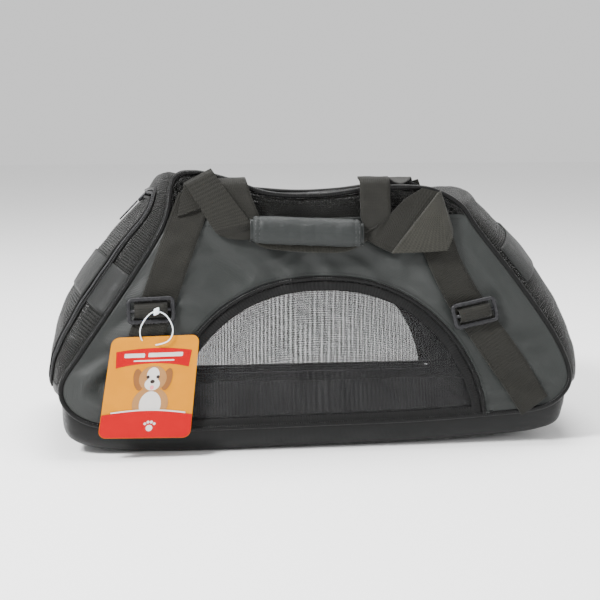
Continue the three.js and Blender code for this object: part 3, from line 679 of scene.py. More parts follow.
def end_piece(name, along, across, nodes, rows, columns, body="shell", band=0, hinge=None):
    """Close mesh on an end, or a polyester band which stands this far off it."""
    finish, thick = (band_cloth, BAND_THICK) if band else (close_knit, KNIT_THICK)
    piece = sheet_of(name, columns, rows, end_place(*along, *across, band), thick, -1)
    fit(piece, finish, body, *nodes, hinge=hinge)
    return piece


DOOR_LOW, DOOR_HIGH = 21.25, 17.55
DOOR_HINGE = (on_body(DOOR_LOW, 0), on_body(DOOR_LOW - 0.75, 0))
band_cloth = polyester("band_polyester", (0.0065, 0.0072, 0.0068))
DOOR_SHARE, BORDER_SHARE, ZIP_SHARE = 0.68, 0.77, 0.725
END_TOP = 16.35
LEFT_BAND, RIGHT_BAND, BAND_THICK = (18.95, 19.5), (6.95, 7.55), 1.4
end_piece("left_door_mesh", (DOOR_HIGH, DOOR_LOW - 0.05), (-DOOR_SHARE, DOOR_SHARE),
          ["left_door"], 60, 24, "left_door", hinge=DOOR_HINGE)
end_piece("left_door_cross_band", LEFT_BAND, (-DOOR_SHARE + 0.01, DOOR_SHARE - 0.01),
          ["left_door_band"], 16, 24, "left_door", 1.6)
for name, reach in (("front", (-1, -BORDER_SHARE)), ("back", (BORDER_SHARE, 1))):
    end_piece(f"left_{name}_gusset", (END_TOP, DOOR_LOW), reach, [f"left_{name}_border"], 60, 10)
    end_piece(f"left_{name}_band_end", LEFT_BAND, reach, [], 16, 8, band=1.6)
end_piece("left_top_gusset", (END_TOP, 17.4), (-BORDER_SHARE + 0.01, BORDER_SHARE - 0.01),
          ["left_top_border"], 16, 20)
end_piece("right_end_knit", (4.75, 9.65), (-1, 1), ["right_end_mesh"], 80, 40)
end_piece("right_cross_band", RIGHT_BAND, (-0.98, 0.98), ["right_end_band"], 16, 40, band=1.8)


def zip_finish(name):
    """A nylon coil: fine bright teeth between dark gaps."""
    finish, tree, shader = new_finish(name, (0.012, 0.012, 0.013), 0.32)
    _, along, _ = weave_place(tree)
    teeth = wave_along(tree, along, 0.0016)
    colour_by(tree, shader, teeth, (0.006, 0.006, 0.007), (0.05, 0.05, 0.052))
    bump(tree, shader, teeth, 0.0008, 1.0)
    return finish


coil_finish = zip_finish("nylon_coil")
COIL_RADIUS = 0.0018
BODY_MIDDLE = Vector((0, 0, 0.13))


def body_cord(name, stops, d, radius, finish, body, nodes, sides=8, hinge=None):
    """A cord laid along s and t stops on the band."""
    points = [on_body(s, t, d) for s, t in stops]
    piece = cord_of(name, points, radius, sides, lambda i: (points[i] - BODY_MIDDLE).normalized())
    return fit(piece, finish, body, *nodes, hinge=hinge)


def door_route(share, high):
    """Up one side of the door, over its top and down the other, as s and t on the band."""
    up = [(DOOR_LOW - 0.1 - (DOOR_LOW - high - 0.2) * i / 40, -share) for i in range(41)]
    over = [(high, math.sin(math.asin(share - 0.05) * (i / 20 - 1))) for i in range(1, 40)]
    down = [(s, share) for s, _ in reversed(up)]
    return up + over + down


coil_route = door_route(ZIP_SHARE, DOOR_HIGH - 0.1)
body_cord("door_coil", coil_route, 0, COIL_RADIUS, coil_finish, "shell", ["door_zip"])
inner = [(s, 0.965 * t) for s, t in door_route(0.7, DOOR_HIGH + 0.03)]
body_cord("door_inner_welt", inner, 1.0, 0.0013, binding_finish, "left_door", [], hinge=DOOR_HINGE)
outer = door_route(0.79, DOOR_HIGH - 0.2)
body_cord("door_outer_welt", outer, 1.0, 0.0016, piping_finish, "shell", [])

# --- Roof ---
# The roof is close mesh between the two top seams. Its flap is zipped round three sides and
# pushes in on its back edge, under the webbing that crosses above it.
FLAP_FROM, FLAP_TO, ROOF_MIDDLE = 10.75, 15.1, 13.1


def roof_place(s0, s1, t0, t1, d=0.0):
    def place(u, v):
        return on_body(s0 + (s1 - s0) * v, t0 + (t1 - t0) * u, d)
    return place


flap = sheet_of("roof_mesh_flap", 40, 60, roof_place(FLAP_FROM, FLAP_TO, -0.86, 0.97), KNIT_THICK, -1)
flap_hinge = (on_body(ROOF_MIDDLE, 0.97), on_body(ROOF_MIDDLE, 0.68))
fit(flap, close_knit, "roof_flap", "roof_flap", hinge=flap_hinge)
border_place = roof_place(FLAP_FROM - 0.4, FLAP_TO + 0.4, -1, -0.93)
border = sheet_of("roof_front_gusset", 6, 60, border_place, KNIT_THICK, -1)
fit(border, close_knit, "shell", "roof_front_border")
for name, s0, s1 in (("right", 9.6, 10.6), ("left", 15.25, 16.4)):
    corner = sheet_of(f"roof_{name}_gusset", 40, 16, roof_place(s0, s1, -0.93, 0.98), KNIT_THICK, -1)
    fit(corner, close_knit, "shell")
roof_stops = [(FLAP_TO + 0.08, 0.9 - 1.75 * i / 24) for i in range(24)]
roof_stops += [(FLAP_TO - 0.05 - (FLAP_TO - FLAP_FROM - 0.1) * i / 50, -0.895) for i in range(51)]
roof_stops += [(FLAP_FROM - 0.08, -0.8 + 1.7 * i / 24) for i in range(25)]
body_cord("roof_coil", roof_stops, 0, COIL_RADIUS, coil_finish, "shell", ["roof_zip"])

# --- Webbing straps ---
# Flat woven polyester webbing is sewn up each long face with a row of stitches along both edges.
# It is warm grey-brown, with ribs across it and a tight, slightly shiny edge.
WEBBING = 32


def webbing_finish(name, colour):
    """Ribs across the webbing, warp lines along it and a faint twill over both."""
    finish, tree, shader = new_finish(name, colour, 0.62, sheen=0.08)
    weave, along, across = weave_place(tree)
    rib = wave_along(tree, along, 0.0021)
    column = wave_along(tree, across, 0.0016)
    twill = wave_along(tree, math_node(tree, "ADD", along, across), 0.0019)
    mixed = math_node(tree, "MULTIPLY_ADD", rib, 0.4, math_node(tree, "MULTIPLY", twill, 0.35))
    mixed = math_node(tree, "MULTIPLY_ADD", column, 0.25, mixed)
    cloud = noise_of(tree, weave, 60.0, 4.0)
    shade = math_node(tree, "MULTIPLY_ADD", mixed, 0.45, math_node(tree, "MULTIPLY", cloud, 0.55))
    shade_by(tree, shader, shade, colour, 0.45, 1.65)
    bump(tree, shader, mixed, 0.0005, 0.9)
    return finish


webbing_dark = webbing_finish("strap_webbing", (0.0115, 0.0112, 0.0094))
# A lighter copy of the strap webbing: painted light on the run that turns over at the grip's right end and on the
# back handle's run that sags under the grip.
webbing_painted_light = webbing_finish("webbing_painted_lighter", (0.022, 0.0215, 0.018))


def straight_point(points, at):
    """Along straight lines between the points, where the webbing is creased."""
    i = min(int(at), len(points) - 2)
    return np.array(points[i], float) * (1 - at + i) + np.array(points[i + 1], float) * (at - i)


def ribbon_of(name, stations, finish, thick, rows, columns, crown=0.0, side=1, flat=False, crisp=False):
    """Webbing through stations: each has its two edges as x, z and d on a long face."""
    left = [s[0] for s in stations]
    right = [s[1] for s in stations]

    def place(u, v):
        at = u * (len(stations) - 1)
        a = straight_point(left, at) if crisp else curve_point(left, at, False)
        b = straight_point(right, at) if crisp else curve_point(right, at, False)
        p = a + (b - a) * v
        lift = crown * math.sin(math.pi * v)
        return (off_face if flat else on_face)(p[0], p[1], p[2] + lift, side)

    piece = sheet_of(name, rows, columns, place, thick, 0)
    piece.data.materials.append(finish)
    edge = piece.modifiers.new("soft_edge", "BEVEL")
    edge.width = 0.0005
    edge.segments = 2
    edge.limit_method = "ANGLE"
    return piece


def across_strap(x, z, angle, d):
    """The two edges of a strap whose middle is here and which climbs at this angle."""
    half = WEBBING / 2
    c, s = math.cos(angle), math.sin(angle)
    return (x - half * c, z + half * s, d), (x + half * c, z - half * s, d)


# each strap: its middle and its slope where it is sewn in, at the slide and at the panel's top
STRAPS = {
    "left": [(-196, 34, 0.30), (-181, 74, 0.34), (-160, 130, 0.36),
             (-142, 180, 0.33), (-127, 220, 0.26), (-119, 240, 0.3)],
    "right": [(205, 38, -0.6), (182, 74, -0.58), (148, 124, -0.56),
              (126, 160, -0.5), (112, 194, -0.35), (109, 216, -0.2)],
}
STITCH = 2.6


def stitch_row(name, points, normals, body, colour=(0.012, 0.012, 0.012)):
    """A row of lockstitches: small raised beads of thread between needle holes."""
    bm = bmesh.new()
    for i in range(0, len(points) - 1, 2):
        a, b = points[i], points[i + 1]
        middle = (a + b) / 2 + normals[i] * 0.0001
        tangent = (b - a).normalized()
        side = tangent.cross(normals[i]).normalized()
        turn = Matrix((tangent, side, normals[i])).transposed().to_4x4()
        turn.translation = middle
        size = Matrix.Diagonal(((b - a).length * 0.56, 0.00042, 0.0003, 1))
        bmesh.ops.create_icosphere(bm, subdivisions=1, radius=1.0, matrix=turn @ size)
    piece = make_object(name, bm)
    finish, tree, shader = new_finish(f"{name}_thread", colour, 0.5)
    place = object_place(tree)
    twist = noise_of(tree, place, 2500.0)
    bump(tree, shader, twist, 0.0002, 0.8)
    return fit(piece, finish, body)


def stitches_on_face(name, route, d, side, body="shell", colour=(0.016, 0.017, 0.017)):
    """Stitches along x, z points on a long face."""
    long = [0.0]
    for a, b in zip(route, route[1:]):
        long.append(long[-1] + math.dist(a, b))
    count = int(long[-1] / (STITCH / 2))
    points = []
    for i in range(count):
        at = long[-1] * i / count
        k = max(j for j in range(len(long) - 1) if long[j] <= at)
        f = (at - long[k]) / max(long[k + 1] - long[k], 1e-6)
        x = route[k][0] + (route[k + 1][0] - route[k][0]) * f
        z = route[k][1] + (route[k + 1][1] - route[k][1]) * f
        points.append(on_face(x, z, d, side))
    out = Vector((0, -side * COS, SIN))
    return stitch_row(name, points, [out] * len(points), body, colour)


STRAP_NODES = {("left", 1): "front_left_strap", ("right", 1): "front_right_strap",
               ("left", -1): "back_right_strap", ("right", -1): "back_left_strap"}
for (which, side), node in STRAP_NODES.items():
    middles = STRAPS[which]
    stations = [across_strap(x, z, a, 3.4) for x, z, a in middles]
    strap = ribbon_of(f"{node}_webbing", stations, webbing_dark, 1.8, 110, 8, 0.2, side)
    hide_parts(node)
    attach(strap, "shell")
    for edge, share in (("outer", 0.06), ("inner", 0.94)):
        route = []
        for i in range(40):
            at = (len(stations) - 1) * i / 39
            a = curve_point([s[0] for s in stations], at, False)
            b = curve_point([s[1] for s in stations], at, False)
            p = a + (b - a) * share
            route.append((p[0], p[1]))
        stitches_on_face(f"{node}_{edge}_stitches", route, 4.5, side, colour=(0.01, 0.01, 0.009))

# --- Slides ---
# Three-bar slides moulded in gloss black plastic: a rounded frame and a middle bar that the
# webbing passes over. Each slides along its strap.
gloss, tree, shader = new_finish("gloss_black_moulding", (0.012, 0.012, 0.013), 0.22)
place = object_place(tree)
scuff = noise_of(tree, place, 300.0, 6.0)
tree.links.new(math_node(tree, "MULTIPLY_ADD", scuff, 0.3, 0.1), shader.inputs["Roughness"])
colour_by(tree, shader, scuff, (0.008, 0.008, 0.009), (0.03, 0.03, 0.032))
bump(tree, shader, scuff, 0.00012, 0.5)
SLIDE_WIDE, SLIDE_TALL, SLIDE_BAR, SLIDE_OUT = 45, 25, 2.1, 8.4


def slide_frame(name, x0, z0, turn, d, side):
    """The moulded frame: a bent bar round its edge and a straight one through its middle."""
    def here(x, z, lift=0.0):
        c, s = math.cos(turn), math.sin(turn)
        px, pz = x0 + c * x - s * z, z0 + s * x + c * z
        return off_face(px, pz, d + lift, side)

    rim = []
    half_w, half_t, corner = SLIDE_WIDE / 2 - SLIDE_BAR, SLIDE_TALL / 2 - SLIDE_BAR, 3.4
    for qx, qz, start in ((1, -1, -90), (1, 1, 0), (-1, 1, 90), (-1, -1, 180)):
        for k in range(7):
            a = math.radians(start + 15 * k)
            rim.append(here(qx * (half_w - corner) + corner * math.cos(a),
                            qz * (half_t - corner) + corner * math.sin(a)))
    out = straight_out(side)
    ring = cord_of(name, rim, SLIDE_BAR / 1000, 12, lambda i: out, True)
    across = [here(-half_w + 1 + i * (2 * half_w - 2) / 6, 0) for i in range(7)]
    bar = cord_of(f"{name}_bar", across, 0.0018, 12, lambda i: out)
    for piece in (ring, bar):
        piece.data.materials.append(gloss)
    return ring, bar, here


def slide_loop(name, here, finish):
    """The webbing's turn over the middle bar."""
    route = [(9, -4.2), (6.5, -2.4), (4.4, 2.4), (0, 3.4), (-4.4, 2.4), (-6.5, -2.4), (-9, -4.2)]
    half = WEBBING / 2 - 0.6

    def place(u, v):
        at = u * (len(route) - 1)
        z, lift = curve_point(route, at, False)
        return here(-half + 2 * half * v, z, lift)

    piece = sheet_of(name, 40, 6, place, 1.7, 0)
    piece.data.materials.append(finish)
    return piece


SLIDES = {"left": (-162, 136, 0.04), "right": (146, 128, 0.2)}
for node, which, side in (("front_left_glide", "left", 1), ("front_right_glide", "right", 1),
                          ("back_right_glide", "left", -1), ("back_left_glide", "right", -1)):
    x0, z0, turn = SLIDES[which]
    out = SLIDE_OUT + max(relief(x0, z0, side), 0)
    ring, bar, here = slide_frame(f"{node}_frame", x0, z0, turn, out, side)
    loop = slide_loop(f"{node}_webbing_turn", here, webbing_dark)
    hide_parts(node)
    for piece in (ring, bar, loop):
        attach(piece, node)

# --- Front handle ---
# One length of webbing runs up the left strap, folds over on itself at the top, drops to the
# grip, comes out at its right end and turns over again before it meets the right strap.
HANDLE_FROM, HANDLE_TO = on_face(0, 230, 5.2), on_face(0, 230, 8.2)
left_arm = ribbon_of("front_left_handle_arm", [
    ((-136, 222, 5.2), (-107, 232, 5.2)), ((-133, 238, 5.2), (-105, 248, 5.2)),
    ((-129.5, 251, 5.6), (-104.5, 263.5, 5.6)), ((-128.9, 252.6, 7.6), (-103.8, 265.6, 7.6)),
    ((-127.5, 250.5, 10.4), (-102.3, 262.8, 10.4)), ((-118, 234.5, 11.6), (-91, 247, 12.4)),
    ((-108.5, 218.5, 11.8), (-78, 229, 13.4)), ((-101.6, 207.5, 12), (-67, 214.5, 14)),
    ((-98.5, 204.8, 10.6), (-65.5, 211.6, 12.4)), ((-90, 201.4, 9.4), (-64.5, 211, 11)),
    ((-78, 199.4, 9.8), (-63.5, 210.6, 11.4)), ((-66, 200, 11), (-60, 210.6, 12)),
    ((-56, 201, 11.5), (-54, 210, 12)),
], webbing_dark, 1.7, 144, 12, 0.5, 1, True, True)
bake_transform(left_arm)
# The turn is drawn in the lighter copy of the webbing, as painted light.
right_arm = ribbon_of("front_right_handle_turn", [
    ((97, 196, 5.0), (127, 203, 5.0)), ((101, 220, 5.4), (125, 212, 5.4)),
    ((112, 241.5, 6.2), (124, 209, 6.2)), ((114, 243.6, 8.6), (125.5, 207, 8.6)),
    ((113.6, 243, 11.4), (124.4, 198, 11.8)), ((113.4, 242.6, 12.4), (119, 187, 13)),
    ((113, 242.2, 12.8), (101, 185.8, 14)), ((112.6, 241.8, 13), (84, 185.4, 14.4)),
    ((112, 241.4, 13), (66, 185, 14.6)), ((111.6, 241.6, 11.2), (65.4, 185.6, 12.6)),
], webbing_painted_light, 1.6, 126, 16, 0.4, 1, True, True)
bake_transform(right_arm)
right_band = ribbon_of("front_right_handle_band", [
    ((111.6, 242.6, 9.6), (66, 186.2, 10.8)), ((97, 246.6, 8.6), (63, 187, 10.6)),
    ((80, 236.5, 8.8), (57.5, 189.4, 11.2)), ((67, 224, 9), (50, 193, 11.4)),
    ((58, 216, 10.6), (45.5, 195.6, 12.2)), ((48, 211.6, 9.8), (41.5, 197.6, 11.4)),
    ((40, 209, 11), (38, 199, 11.5)), ((28, 208, 11.5), (28, 200, 11.5)),
], webbing_dark, 1.7, 112, 16, -1.2, 1, True, True)
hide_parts("front_handle_webbing")
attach(right_band, "handle")


def back_arm(name, back_x, front_x, turn_x, lean, node):
    """Edges as x, y and z in millimetres, from the back panel over the roof to the grip."""
    half = (WEBBING - 3) / 2
    middle = [
        (back_x, 100.5, 222, 0), (back_x, 98.4, 236, 0), (back_x * 0.99, 94.5, 244.5, 0),
        (back_x * 0.96, 86, 247.5, 0), (back_x * 0.8 + front_x * 0.2, 56, 246.5, 0),
        ((back_x + front_x) / 2, 2, 246, 0), (back_x * 0.2 + front_x * 0.8, -56, 251.5, 0),
        (front_x, -86, 257.5, 0), (front_x + 0.3 * lean, -98.5, 254, 0),
        (front_x + lean, -101.5, 240, 0), (front_x + 2 * lean, -104, 224, 0),
        (turn_x, -107.5, 212, 1), (turn_x - 12 * np.sign(turn_x), -109, 206, 1),
    ]

    def place(u, v):
        at = u * (len(middle) - 1)
        x, y, z, pinch = curve_point(middle, at, False)
        wide = half * (1 - 0.45 * min(max(pinch, 0), 1))
        ripple = 0.8 * noise.noise((u * 9, v * 2, back_x))
        return Vector((x + wide * (2 * v - 1), y - ripple, z + ripple + 3 * (v - 0.5) * pinch)) / 1000

    piece = sheet_of(name, 120, 8, place, 1.8, 0)
    piece.data.materials.append(webbing_dark)
    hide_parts(node)
    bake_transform(piece)
    return piece


back_arm("back_left_handle_arm", -110, -87, -68, 6.5, "left_roof_webbing")
back_arm("back_right_handle_arm", 114, 51, 46, 0.0, "right_roof_webbing")
# This run is drawn in the lighter copy of the webbing, as painted light.
sag = ribbon_of("back_handle_run", [
    ((-66, 203, 9.5), (-64, 197, 10.5)), ((-56, 199, 8), (-54, 191.5, 11)),
    ((-30, 197.5, 7.5), (-30, 188.4, 11)), ((0, 197, 7.5), (0, 186.6, 11)),
    ((20, 197, 7.5), (20, 187, 11)), ((34, 198.5, 8), (32, 191, 11)),
    ((43, 203, 9.5), (42, 198, 10.5)),
], webbing_painted_light, 2.2, 80, 6, 1.0, 1, True)
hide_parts("back_handle_webbing")
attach(sag, "handle")

# --- Grip ---
# A padded wrap of blue-grey polyester closes round both runs of webbing. A fold runs along its
# top, its flap is pressed shut down the front, and both ends are bound with two rows of stitches.
GRIP_LEFT, GRIP_RIGHT = (-69, 208.5), (38, 203.5)
GRIP_TALL, GRIP_THICK, GRIP_D = 11.8, 7.4, 12.6
grip_cloth = polyester("grip_polyester", (0.0145, 0.0165, 0.016), 0.0009)


def grip_point(u, angle, grow=0.0):
    """On the wrap's surface: u along it and the angle round it, 0 at the front."""
    x = GRIP_LEFT[0] + (GRIP_RIGHT[0] - GRIP_LEFT[0]) * u
    z = GRIP_LEFT[1] + (GRIP_RIGHT[1] - GRIP_LEFT[1]) * u
    end = min(u, 1 - u) * 107
    pinch = 1 - 0.16 * math.exp(-((end - 2) / 3.0) ** 2) - 0.07 * math.exp(-((end - 8.5) / 1.6) ** 2)
    c, s = math.cos(angle), math.sin(angle)
    body = 1 + 0.05 * noise.noise((u * 7, angle * 1.4, 2.0))
    body += 0.03 * noise.noise((u * 22, angle * 3, 6.0))
    tall = (GRIP_TALL + grow) * math.copysign(abs(s) ** 0.75, s) * pinch * body
    deep = (GRIP_THICK + grow) * math.copysign(abs(c) ** 0.8, c) * pinch * body
    fold = 1.0 * math.exp(-((angle - math.pi / 2) / 0.14) ** 2)
    return off_face(x, z + tall, GRIP_D + deep + fold)


def closed_tube(name, nu, nv, place):
    """A tube shaped by place(u, angle), closed by two ends that are sewn in."""
    bm = bmesh.new()
    bmesh.ops.create_grid(bm, x_segments=nu, y_segments=nv, size=0.5)
    for v in bm.verts:
        u, w = v.co.x + 0.5, v.co.y + 0.5
        v.co = place(u, 2 * math.pi * (w if w < 0.9999 else 0.0))
    bmesh.ops.remove_doubles(bm, verts=bm.verts[:], dist=1e-6)
    made = bmesh.ops.holes_fill(bm, edges=[e for e in bm.edges if e.is_boundary], sides=nv + 2)
    bmesh.ops.inset_region(bm, faces=made["faces"], thickness=0.0015, depth=-0.0008)
    bmesh.ops.recalc_face_normals(bm, faces=bm.faces[:])
    return make_object(name, bm)


grip = closed_tube("grip_pad", 110, 48, grip_point)
fit(grip, grip_cloth, "handle", "grip_wrap")


def flap_place(u, v):
    return grip_point(0.03 + 0.94 * u, -1.05 + 2.35 * v, 1.5 + 0.3 * (1 - v))


grip_flap = sheet_of("grip_closing_flap", 90, 24, flap_place, 1.2, 0)
fit(grip_flap, grip_cloth, "grip_flap", "grip_flap")
for k, share in enumerate((0.045, 0.075, 0.925, 0.955)):
    line = [grip_point(share, -1.0 + 2.2 * i / 18, 2.5) for i in range(19)]
    outward = [Vector((0, -1, 0.2)).normalized()] * len(line)
    stitch_row(f"grip_stitches_{k}", line, outward, "grip_flap", (0.05, 0.053, 0.053))

# --- Hang tag ---
# A glossy printed card hangs from the left slide on a thin nylon loop: yellow above, red below
# with a curved edge between, a plain banner, a drawing of a puppy and a small paw.
TAG_TOP_LEFT, TAG_TOP_RIGHT = (-198, 111.5), (-117.5, 113)
TAG_FOOT_RIGHT, TAG_FOOT_LEFT = (-128, 18.5), (-213, 20)
TAG_D = 11.6


def tag_point(u, v, lift=0.0):
    """On the card: u from its left edge to its right, v from its foot to its top."""
    top = np.array(TAG_TOP_LEFT) * (1 - u) + np.array(TAG_TOP_RIGHT) * u
    foot = np.array(TAG_FOOT_LEFT) * (1 - u) + np.array(TAG_FOOT_RIGHT) * u
    x, z = foot * (1 - v) + top * v
    return off_face(x, z, TAG_D + lift)


def card(name, outline, lift, thick, finish, body="hang_tag", nodes=()):
    """A flat printed shape on the card: its outline is u, v."""
    bm = bmesh.new()
    verts = [bm.verts.new(tag_point(u, v, lift)) for u, v in outline]
    face = bm.faces.new(verts)
    bm.normal_update()
    if face.normal.y > 0:
        bmesh.ops.reverse_faces(bm, faces=[face])
    bmesh.ops.triangulate(bm, faces=bm.faces[:])
    piece = make_object(name, bm)
    wall = piece.modifiers.new("card", "SOLIDIFY")
    wall.thickness = thick / 1000
    wall.offset = -1
    for polygon in piece.data.polygons:
        polygon.use_smooth = False
    return fit(piece, finish, body, *nodes)


def printed(name, colour, shine=0.3):
    """Ink on coated card, with the faint screen of print and a soft gloss."""
    finish, tree, shader = new_finish(name, colour, shine)
    shader.inputs["Specular IOR Level"].default_value = 0.12
    place = object_place(tree)
    cloud = noise_of(tree, place, 60.0, 5.0)
    shade_by(tree, shader, cloud, colour, 0.86, 1.1)
    bump(tree, shader, cloud, 0.0001, 0.3)
    return finish


def round_rect(u0, v0, u1, v1, r, steps=6, stretch=0.86):
    """A rounded box in u and v; v is stretched because the card is taller than it is wide."""
    outline = []
    for cu, cv, start in ((u1 - r, v0 + r * stretch, -90), (u1 - r, v1 - r * stretch, 0),
                          (u0 + r, v1 - r * stretch, 90), (u0 + r, v0 + r * stretch, 180)):
        for k in range(steps + 1):
            a = math.radians(start + 90 * k / steps)
            outline.append((cu + r * math.cos(a), cv + r * stretch * math.sin(a)))
    return outline


def oval(cu, cv, ru, rv, turn=0.0, count=28):
    c, s = math.cos(turn), math.sin(turn)
    outline = []
    for k in range(count):
        a = 2 * math.pi * k / count
        x, y = ru * math.cos(a), rv * math.sin(a)
        outline.append((cu + x * c - y * s, cv + x * s + y * c))
    return outline


def foot_wave(start, end, count, low, rise):
    """The curved line between the card's two colours."""
    return [(u, low + rise * math.cos((u - 0.5) * math.pi * 1.1)) for u in np.linspace(start, end, count)]


TAG_YELLOW = printed("tag_yellow", (0.5, 0.185, 0.0))
TAG_RED = printed("tag_red", (0.36, 0.0, 0.004))
TAG_WHITE = printed("tag_white", (0.55, 0.53, 0.5))
FUR = printed("tag_fur", (0.3, 0.15, 0.055))
FUR_DARK = printed("tag_ear", (0.2, 0.08, 0.025))
INK = printed("tag_ink", (0.03, 0.022, 0.02))
PINK = printed("tag_tongue", (0.75, 0.22, 0.25))
card("tag_card", round_rect(0, 0, 1, 1, 0.085), 0, 0.8, TAG_YELLOW, nodes=["hang_tag"])
lower = [p for p in round_rect(0.004, 0.004, 0.996, 1, 0.082) if p[1] < 0.2]
left_side = sorted((p for p in lower if p[0] < 0.5), key=lambda p: -p[1])
right_side = sorted((p for p in lower if p[0] > 0.5), key=lambda p: p[1])
lower_edge = left_side + right_side + foot_wave(0.996, 0.004, 24, 0.235, 0.035)
card("tag_red_foot", lower_edge, 0.78, 0.1, TAG_RED)
banner = [(u, 0.735 - 0.25 * (u - 0.5) ** 2) for u in np.linspace(0.09, 0.91, 16)]
banner += [(u, 0.885 - 0.16 * (u - 0.5) ** 2) for u in np.linspace(0.93, 0.07, 16)]
card("tag_banner", banner, 0.12, 0.1, TAG_RED)
BANNER_BARS = ((0.17, 0.40, 0.795, 0.835), (0.44, 0.83, 0.797, 0.837), (0.28, 0.74, 0.755, 0.768))
for k, (u0, u1, v0, v1) in enumerate(BANNER_BARS):
    card(f"tag_banner_bar_{k}", round_rect(u0, v0, u1, v1, 0.008, 3), 0.24, 0.1, TAG_WHITE)
# each shape of the puppy: its middle, its two half widths, its turn, its ink and its layer
PUPPY = (
    ("chest", 0.52, 0.34, 0.2, 0.16, 0, FUR, 1),
    ("bib", 0.52, 0.33, 0.12, 0.13, 0, TAG_WHITE, 2),
    ("left_ear", 0.36, 0.575, 0.055, 0.11, 0.25, FUR_DARK, 3),
    ("right_ear", 0.68, 0.575, 0.055, 0.11, -0.25, FUR_DARK, 3),
    ("head", 0.52, 0.585, 0.155, 0.125, 0, FUR, 4),
    ("brow", 0.52, 0.62, 0.07, 0.075, 0, TAG_WHITE, 5),
    ("muzzle", 0.52, 0.53, 0.085, 0.062, 0, TAG_WHITE, 6),
    ("left_eye", 0.465, 0.6, 0.018, 0.017, 0, INK, 7),
    ("right_eye", 0.575, 0.6, 0.018, 0.017, 0, INK, 7),
    ("nose", 0.52, 0.555, 0.026, 0.019, 0, INK, 7),
    ("tongue", 0.52, 0.497, 0.022, 0.022, 0, PINK, 7),
)
INK_THICK = 0.08
for part, u, v, wide, tall, turn, finish, layer in PUPPY:
    card(f"tag_puppy_{part}", oval(u, v, wide, tall, turn), 0.1 + INK_THICK * layer, INK_THICK, finish)
PAW = (
    (0.54, 0.1, 0.036),
    (0.49, 0.142, 0.015), (0.523, 0.158, 0.016), (0.559, 0.158, 0.016), (0.592, 0.142, 0.015),
)
for k, (u, v, r) in enumerate(PAW):
    card(f"tag_paw_{k}", oval(u, v, r, r * 0.86), 0.9, INK_THICK, TAG_WHITE)
white_line = foot_wave(0.1, 0.92, 20, 0.25, 0.033) + foot_wave(0.92, 0.1, 20, 0.236, 0.034)
card("tag_puppy_foot_wave", white_line, 0.88, INK_THICK, TAG_WHITE)

nylon, tree, shader = new_finish("white_nylon", (0.82, 0.82, 0.8), 0.35)
shader.inputs["Subsurface Weight"].default_value = 0.2
place = object_place(tree)
draw = noise_of(tree, place, 900.0)
bump(tree, shader, draw, 0.0002, 0.4)
LOOP = [
    (-157, 135, 15.6), (-165, 131, 15.6), (-171.5, 121, 14.8), (-172, 112, 13),
    (-168, 106, 9.8), (-161, 103.8, 9.8), (-157.6, 104.4, 11.6), (-154, 105, 14.2),
    (-147, 107.5, 14.4), (-143, 113, 14.6), (-142.5, 121, 14.9), (-148, 131, 15.6),
]
loop_points = [off_face(*curve_point(LOOP, i * len(LOOP) / 96)) for i in range(96)]
tag_loop = cord_of("tag_nylon_loop", loop_points, 0.00062, 8, lambda i: straight_out(1), True)
fit(tag_loop, nylon, "tag_loop", "tag_loop")
bm = bmesh.new()
bmesh.ops.create_cube(bm, size=1.0)
bmesh.ops.bevel(bm, geom=bm.edges[:], offset=0.22, affect="EDGES", segments=3, profile=0.5, material=-1)
for v in bm.verts:
    x, y, z = v.co
    v.co = loop_points[0] + Vector((x * 0.0052, y * 0.0032, z * 0.0062 + x * 0.002))
lock = make_object("tag_loop_lock", bm)
fit(lock, nylon, "tag_loop")

# --- Zip sliders ---
# Black enamelled die-cast sliders with flat pull tabs, one on the door's zip and one on the roof's.
# Each clips round its nylon coil and lies on the slack cloth.
enamel, tree, shader = new_finish("black_enamel", (0.012, 0.012, 0.013), 0.3, 0.6)
place = object_place(tree)
worn = noise_of(tree, place, 500.0, 5.0)
tree.links.new(math_node(tree, "MULTIPLY_ADD", worn, 0.4, 0.12), shader.inputs["Roughness"])
colour_by(tree, shader, worn, (0.008, 0.008, 0.009), (0.045, 0.045, 0.048))


def softened(name, node, width, move):
    """The CAD piece with its edges rounded, as a die casting has, moved down on to the slack cloth."""
    bm = bmesh.new()
    bm.from_mesh(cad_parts[node].data)
    bmesh.ops.translate(bm, verts=bm.verts[:], vec=move)
    bmesh.ops.remove_doubles(bm, verts=bm.verts[:], dist=1e-5)
    sharp = [e for e in bm.edges if len(e.link_faces) == 2 and e.calc_face_angle(0) > 0.6]
    bmesh.ops.bevel(bm, geom=sharp, offset=width, affect="EDGES", segments=3, profile=0.5, material=-1)
    piece = make_object(name, bm)
    fit(piece, enamel, node, node)


SLIDER_OUT = 2.4
for name, s, t in (("door", DOOR_HIGH + 0.04, -0.2), ("roof", ROOF_MIDDLE, -0.895)):
    resting = on_body(s, t, SLIDER_OUT)
    low, top = (Vector(v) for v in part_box(f"{name}_slider"))
    move = resting - (low + top) / 2
    softened(f"{name}_slider_body", f"{name}_slider", 0.0011, move)
    softened(f"{name}_pull_tab", f"{name}_pull", 0.00045, move)

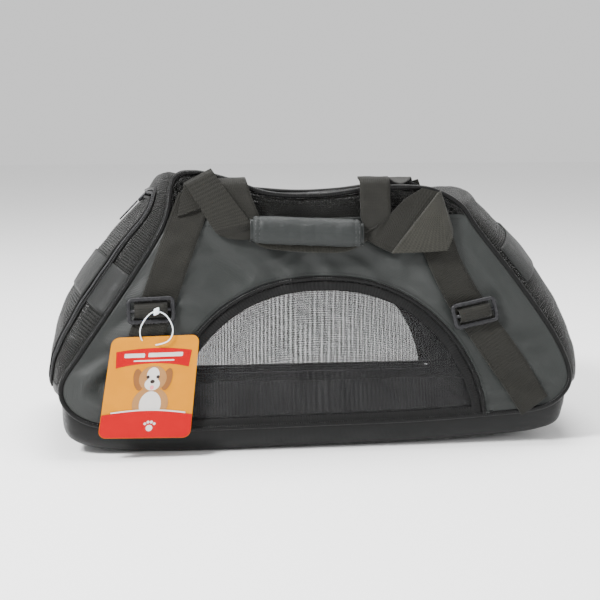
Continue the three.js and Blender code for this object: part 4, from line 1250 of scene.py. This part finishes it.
# --- Hem stitches ---
# Lockstitches in dark polyester thread hold the panels' raw edges: a double row along the hem at
# the top of each panel, and a single row just outside each arch.
for name, side in SIDES:
    left = seam_at(side, HEM_ENDS[side][0], 1.5)[0] + 6
    right = seam_at(side, HEM_ENDS[side][1], 1.5)[0] - 6
    for k, drop in enumerate((3.0, 8.0)):
        route = [(left + (right - left) * i / 40, PANEL_TOP - drop) for i in range(41)]
        stitches_on_face(f"{name}_hem_stitches_{k}", route, 2.1, side)
    route = [arch(math.pi * (1 - (0.02 + 0.96 * i / 90)), 5.2) for i in range(91)]
    stitches_on_face(f"{name}_arch_stitches", route, 2.1, side)

# --- Floor, light and camera ---
# A plain pale floor under soft lights: the key light rakes the front from the left and high up.
# The camera stands a little above the carrier, left of its middle.
FLOOR_Z = -0.0003
bm = bmesh.new()
bmesh.ops.create_grid(bm, x_segments=2, y_segments=2, size=6)
for v in bm.verts:
    v.co.z = FLOOR_Z
floor = make_object("floor", bm)
floor_finish, tree, shader = new_finish("pale_floor", (0.92, 0.92, 0.92), 0.9)
floor.data.materials.append(floor_finish)


def add_light(name, place, target, size, power):
    data = bpy.data.lights.new(name, "AREA")
    data.shape = "RECTANGLE"
    data.size, data.size_y = size
    data.energy = power
    light = bpy.data.objects.new(name, data)
    light.location = place
    light.rotation_euler = (Vector(target) - Vector(place)).to_track_quat("-Z", "Y").to_euler()
    bpy.context.collection.objects.link(light)


add_light("key", (-1.35, -0.95, 1.6), (0, 0, 0.1), (0.5, 0.4), 105)
add_light("fill", (1.7, -1.5, 0.7), (0, 0, 0.12), (0.8, 0.6), 14)
add_light("top", (0.1, 0.3, 2.0), (0, 0, 0.1), (1.3, 1.0), 60)
world = bpy.data.worlds.new("studio")
world.use_nodes = True
world.node_tree.nodes["Background"].inputs["Color"].default_value = (1, 1, 1, 1)
world.node_tree.nodes["Background"].inputs["Strength"].default_value = 0.95
bpy.context.scene.world = world

AZIMUTH, ELEVATION, DISTANCE = math.radians(-6.84), math.radians(8.67), 1.312
TARGET = Vector((-0.0086, 0, 0.1266))
level = math.cos(ELEVATION)
back_way = Vector((math.sin(AZIMUTH) * level, -math.cos(AZIMUTH) * level, math.sin(ELEVATION)))
camera_data = bpy.data.cameras.new("camera")
camera_data.sensor_width = 36
camera_data.lens = 76.1
camera = bpy.data.objects.new("camera", camera_data)
camera.location = TARGET + back_way * DISTANCE
camera.rotation_euler = (-back_way).to_track_quat("-Z", "Y").to_euler()
bpy.context.collection.objects.link(camera)
bpy.context.scene.camera = camera
